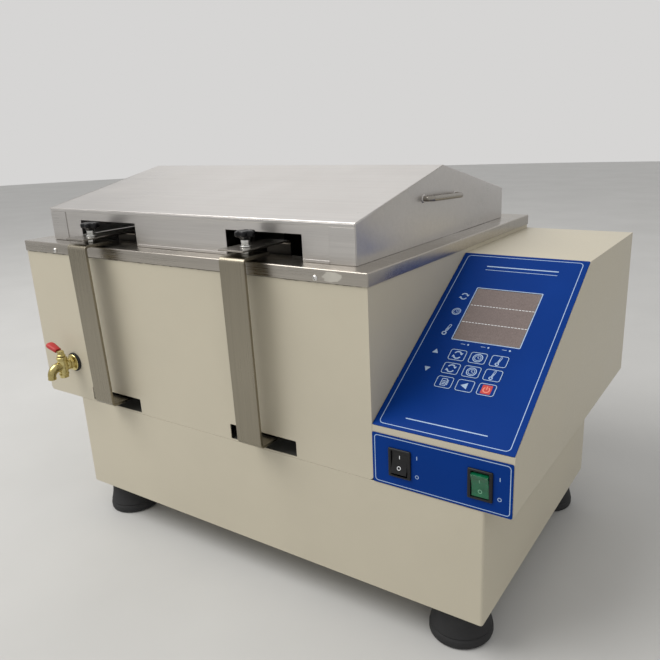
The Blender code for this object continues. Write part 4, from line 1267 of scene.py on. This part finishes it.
def make_panel():
    outline = rectangle((0.5, 0.4), (PANEL_W - 0.5, PANEL_L - 1.3), 1.2, 4)
    window = rectangle((WINDOW_X[0], WINDOW_S[0]), (WINDOW_X[1], WINDOW_S[1]), 0.6, 2)
    wide, tall = (size / 2 + 0.3 for size in KEY_SIZE)
    holes = []
    for x in KEY_X.values():
        holes += [rectangle((x - wide, s - tall), (x + wide, s + tall), 3.2) for s in KEY_S.values()]
    film = flat([outline, window, *holes], 0.3, FILM_TOP)
    piece("panel_film", film, "blue_film", "housing", PANEL, replaces=["panel_overlay"])

    lines = frame_line((6.0, 4.0), (PANEL_W - 6.2, PANEL_L - 5.0), 5.0, 0.75)
    low, high = zip(WINDOW_X, WINDOW_S)
    lines += frame_line((low[0] - 1.0, low[1] - 1.0), (high[0] + 1.0, high[1] + 1.0), 1.2, 1.0)
    lines += [stroke((36, 243.6), (120, 243.6), 1.5), stroke((36, 237.6), (120, 237.6), 0.7)]
    lines.append(stroke((32, 15.6), (118, 15.6), 1.1))
    lines += [stroke((x, 120.8), (x + 5.0, 120.8), 0.6) for x in (50.2, 72.8, 96.0)]
    for x in (58.6, 81.2, 104.4):
        lines.append(circle(x, 120.8, 1.1, 20))
    printed("panel_lines", lines, FILM_TOP, "ink", "housing", PANEL)

    x = 27.0
    symbols = cycle_mark(x, 191, 10.2) + clock_mark(x, 166.5, 10.4) + thermometer_mark(x, 138, 17.0)
    symbols += triangle_mark(x, 105.4, 6.8, 90) + triangle_mark(x, 81.6, 6.8, -90)
    printed("panel_symbols", symbols, FILM_TOP, "ink", "housing", PANEL)

    dashes = []
    for s in (179.1, 152.9):
        x = WINDOW_X[0] + 1.4
        while x < WINDOW_X[1] - 3:
            dashes.append(stroke((x, s), (x + 2.7, s), 0.75))
            x += 3.7
    printed("window_dashes", dashes, WINDOW_TOP, "white_ink", "housing", PANEL)


def make_keys():
    wide, tall = (size / 2 for size in KEY_SIZE)
    marks = {
        "left": (cycle_mark, 10.6), "middle": (clock_mark, 11.2), "right": (thermometer_mark, 12.5),
    }
    for row, s in KEY_S.items():
        for column, x in KEY_X.items():
            body = f"key_{row}_{column}"
            cap = prism(rectangle((x - wide, s - tall), (x + wide, s + tall), 3.0, 6), -0.6, KEY_TOP)
            piece(f"{body}_film", cap, "blue_film", body, PANEL, edge=0.12, replaces=[body])
            inset = 0.15
            low = (x - wide + inset, s - tall + inset)
            high = (x + wide - inset, s + tall - inset)
            loops = frame_line(low, high, 2.8, 0.75)
            if row != "lower":
                mark, size = marks[column]
                loops += mark(x, s, size)
            elif column == "left":
                loops += sheet_mark(x, s, 12.0)
            elif column == "middle":
                loops += triangle_mark(x, s, 8.0, 180)
            printed(f"{body}_mark", loops, KEY_TOP, "ink", body, PANEL)
    x, s = KEY_X["right"], KEY_S["lower"]
    body = "key_lower_right"
    patch = [rectangle((x - 5.2, s - 5.6), (x + 5.2, s + 5.6), 1.0)]
    printed("key_power_patch", patch, KEY_TOP + 0.03, "red_ink", body, PANEL)
    printed("key_power_mark", power_mark(x, s - 0.3, 9.6), KEY_TOP + 0.09, "pale_red_ink", body, PANEL)


# --- switch strip


def make_switches():
    low = (CASING_HIGH.x + 0.4, 0.8)
    high = (BOX_HIGH.x - 0.6, STRIP_TOP)
    wide, tall = SWITCH_HOLE
    ends = (SWITCH_Z - tall, SWITCH_Z + tall)
    holes = [rectangle((x - wide, ends[0]), (x + wide, ends[1]), 0.5, 2) for x in SWITCH_X.values()]
    strip = flat([rectangle(low, high, 1.6), *holes], 0.3, 0.8)
    piece("switch_film", strip, "blue_film", "housing", FRONT, replaces=["switch_overlay"])
    lines = frame_line((low[0] + 2.6, low[1] + 2.0), (high[0] - 2.2, high[1] - 2.0), 3.6, 0.75)
    for x in SWITCH_X.values():
        lines.append(stroke((x + 19.0, 36.5), (x + 19.0, 40.5), 0.75))
        lines += ring(x + 19.0, 18.0, 2.0, 1.4, 28)
    printed("switch_lines", lines, 0.8, "ink", "housing", FRONT)
    for name, x in SWITCH_X.items():
        make_bezel(name, x)
        make_rocker(name, x)


def make_bezel(name, x):
    """Snap-in frame with a sloped face, a well for the rocker and a body behind."""
    face, back, well = (
        cube((x - wide, near, SWITCH_Z - tall), (x + wide, far, SWITCH_Z + tall))
        for wide, tall, near, far in ((12.6, 15.7, -2.9, -0.9), (10.9, 14.5, -2, 24), (9.2, 13.5, -5, 16))
    )
    round_edges(face, 1.2, 4, lambda e: max(v.co.y for v in e.verts) < -1.0 or along(1)(e))
    round_edges(well, 0.8, 3, along(1))
    bm = combined(combined(face, [back], "UNION"), [well], "DIFFERENCE")
    piece(f"{name}_frame", bm, "black_plastic", "housing", edge=0.25, replaces=[f"{name}_switch_bezel"])


def make_rocker(name, x):
    """Rocker with a hollow face between two raised ends, marked I and O."""
    reach, hollow, half = 9.4, 1.5, 11.6

    def front(z):
        return -reach + hollow * (1 - (z / half) ** 2)

    heights = [half - 2 * half * i / 12 for i in range(13)]
    face = [(front(z), z) for z in heights]
    side = [(-8.6, 12.2), *face, (-8.6, -12.2), (-4, -12.5), (2, -6), (4, 0), (2, 6), (-4, 12.5)]
    tilt = ROCKER_TILT if name == "power" else -ROCKER_TILT
    pivot = moved(x, ROCKER_Y, SWITCH_Z, Matrix.Rotation(tilt, 4, "X"))
    body = f"{name}_switch"
    paint = "green_plastic" if name == "power" else "black_plastic"
    mark_paint = "pale_green_ink" if name == "power" else "white_ink"
    piece(f"{name}_rocker", prism(side, -8.8, 8.8), paint, body, pivot @ SIDE, edge=0.5,
          replaces=[f"{name}_switch_rocker"], angle=30)
    for mark, loops, z in (
        ("on", [stroke((0, -1.9), (0, 1.9), 0.7)], 5.6),
        ("off", ring(0, 0, 2.1, 1.45, 32), -5.8),
    ):
        lean = math.atan(2 * hollow * z / half ** 2)
        spot = pivot @ Matrix.Translation((0, front(z), z)) @ Matrix.Rotation(lean, 4, "X") @ FRONT
        piece(f"{name}_rocker_{mark}", flat(loops, -0.4, 0.07), mark_paint, body, spot)


# --- rear sockets


def make_rear_sockets():
    wall = DEPTH + 0.3
    place = moved(INLET_X, wall, SOCKET_Z, REAR)
    face = prism(rectangle((-25, -12), (25, 12), 5.5, 6), 0, 3)
    back = prism(rectangle((-13.7, -9.7), (13.7, 9.7), 2.0, 4), -24, 1)
    cavity = prism([(-12, -8), (12, -8), (12, 4.6), (8.6, 8), (-8.6, 8), (-12, 4.6)], -16, 9)
    screw_holes = [prism(circle(x, 0, 2.2, 24), -4, 9) for x in (-20, 20)]
    bm = combined(combined(face, [back], "UNION"), [cavity, *screw_holes], "DIFFERENCE")
    piece("inlet_housing", bm, "black_plastic", "housing", place, edge=0.3, replaces=["power_inlet"])
    pins = []
    for x, y in ((-7, -1.8), (0, 2.2), (7, -1.8)):
        pins.append(round_edges(cube((x - 1.0, y - 2.0, -16.5), (x + 1.0, y + 2.0, -1.5)), 0.5, 3))
    piece("inlet_pins", merged(*pins), "plated_steel", "housing", place)
    for side, x in (("left", -20), ("right", 20)):
        pan_screw(f"inlet_screw_{side}", place @ Matrix.Translation((x, 0, 2.6)), 2.6)

    cap = [
        (0, 8.0), (5.8, 8.0), (6.6, 7.4), (6.8, 2.6), (8.2, 2.4), (8.5, 2.0), (8.5, 0), (6.2, 0), (6.2, -28),
        (0, -28),
    ]
    slit = cube((-4.6, -0.7, 6.6), (4.6, 0.7, 9))
    fuse = combined(turned(cap, 48), [slit], "DIFFERENCE")
    piece("fuse_cap", fuse, "black_plastic", "housing", moved(FUSE_X, wall, SOCKET_Z, REAR), edge=0.15,
          replaces=["fuse_holder"])


# --- CAD nodes that stay


KEPT = {
    "beige_paint": ["base_plate"],
    "dark_steel": ["tank_deck", "motor", "motor_mount", "carriage_plate", "crank_disc"],
    "mineral_wool": ["insulation"],
    "tank_steel": ["inner_tank"],
    "smoked_window": ["display_window"],
    "black_plastic": ["display_module"],
    "circuit_board": ["control_board"],
    "aluminium": ["guide_rail_front", "guide_rail_rear", "crank_bearing", "crank_pulley", "motor_pulley"],
    "black_rubber": ["drive_belt"],
}


def dress_kept_nodes():
    """Materials for the CAD nodes whose shape is right, and a fine edge where light can catch it."""
    for paint, names in KEPT.items():
        for name in names:
            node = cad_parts[name]
            node.data.materials.clear()
            node.data.materials.append(PAINTS[paint])
            weld = node.modifiers.new("weld", "WELD")
            weld.merge_threshold = 0.00001
            soften(node, 0.25, 40.0)


make_camera()
make_stage()
make_base()
make_casing()
make_control_box()
make_rim()
make_tank_fittings()
make_lid()
make_carriage()
make_tap()
make_panel()
make_keys()
make_switches()
make_rear_sockets()
dress_kept_nodes()
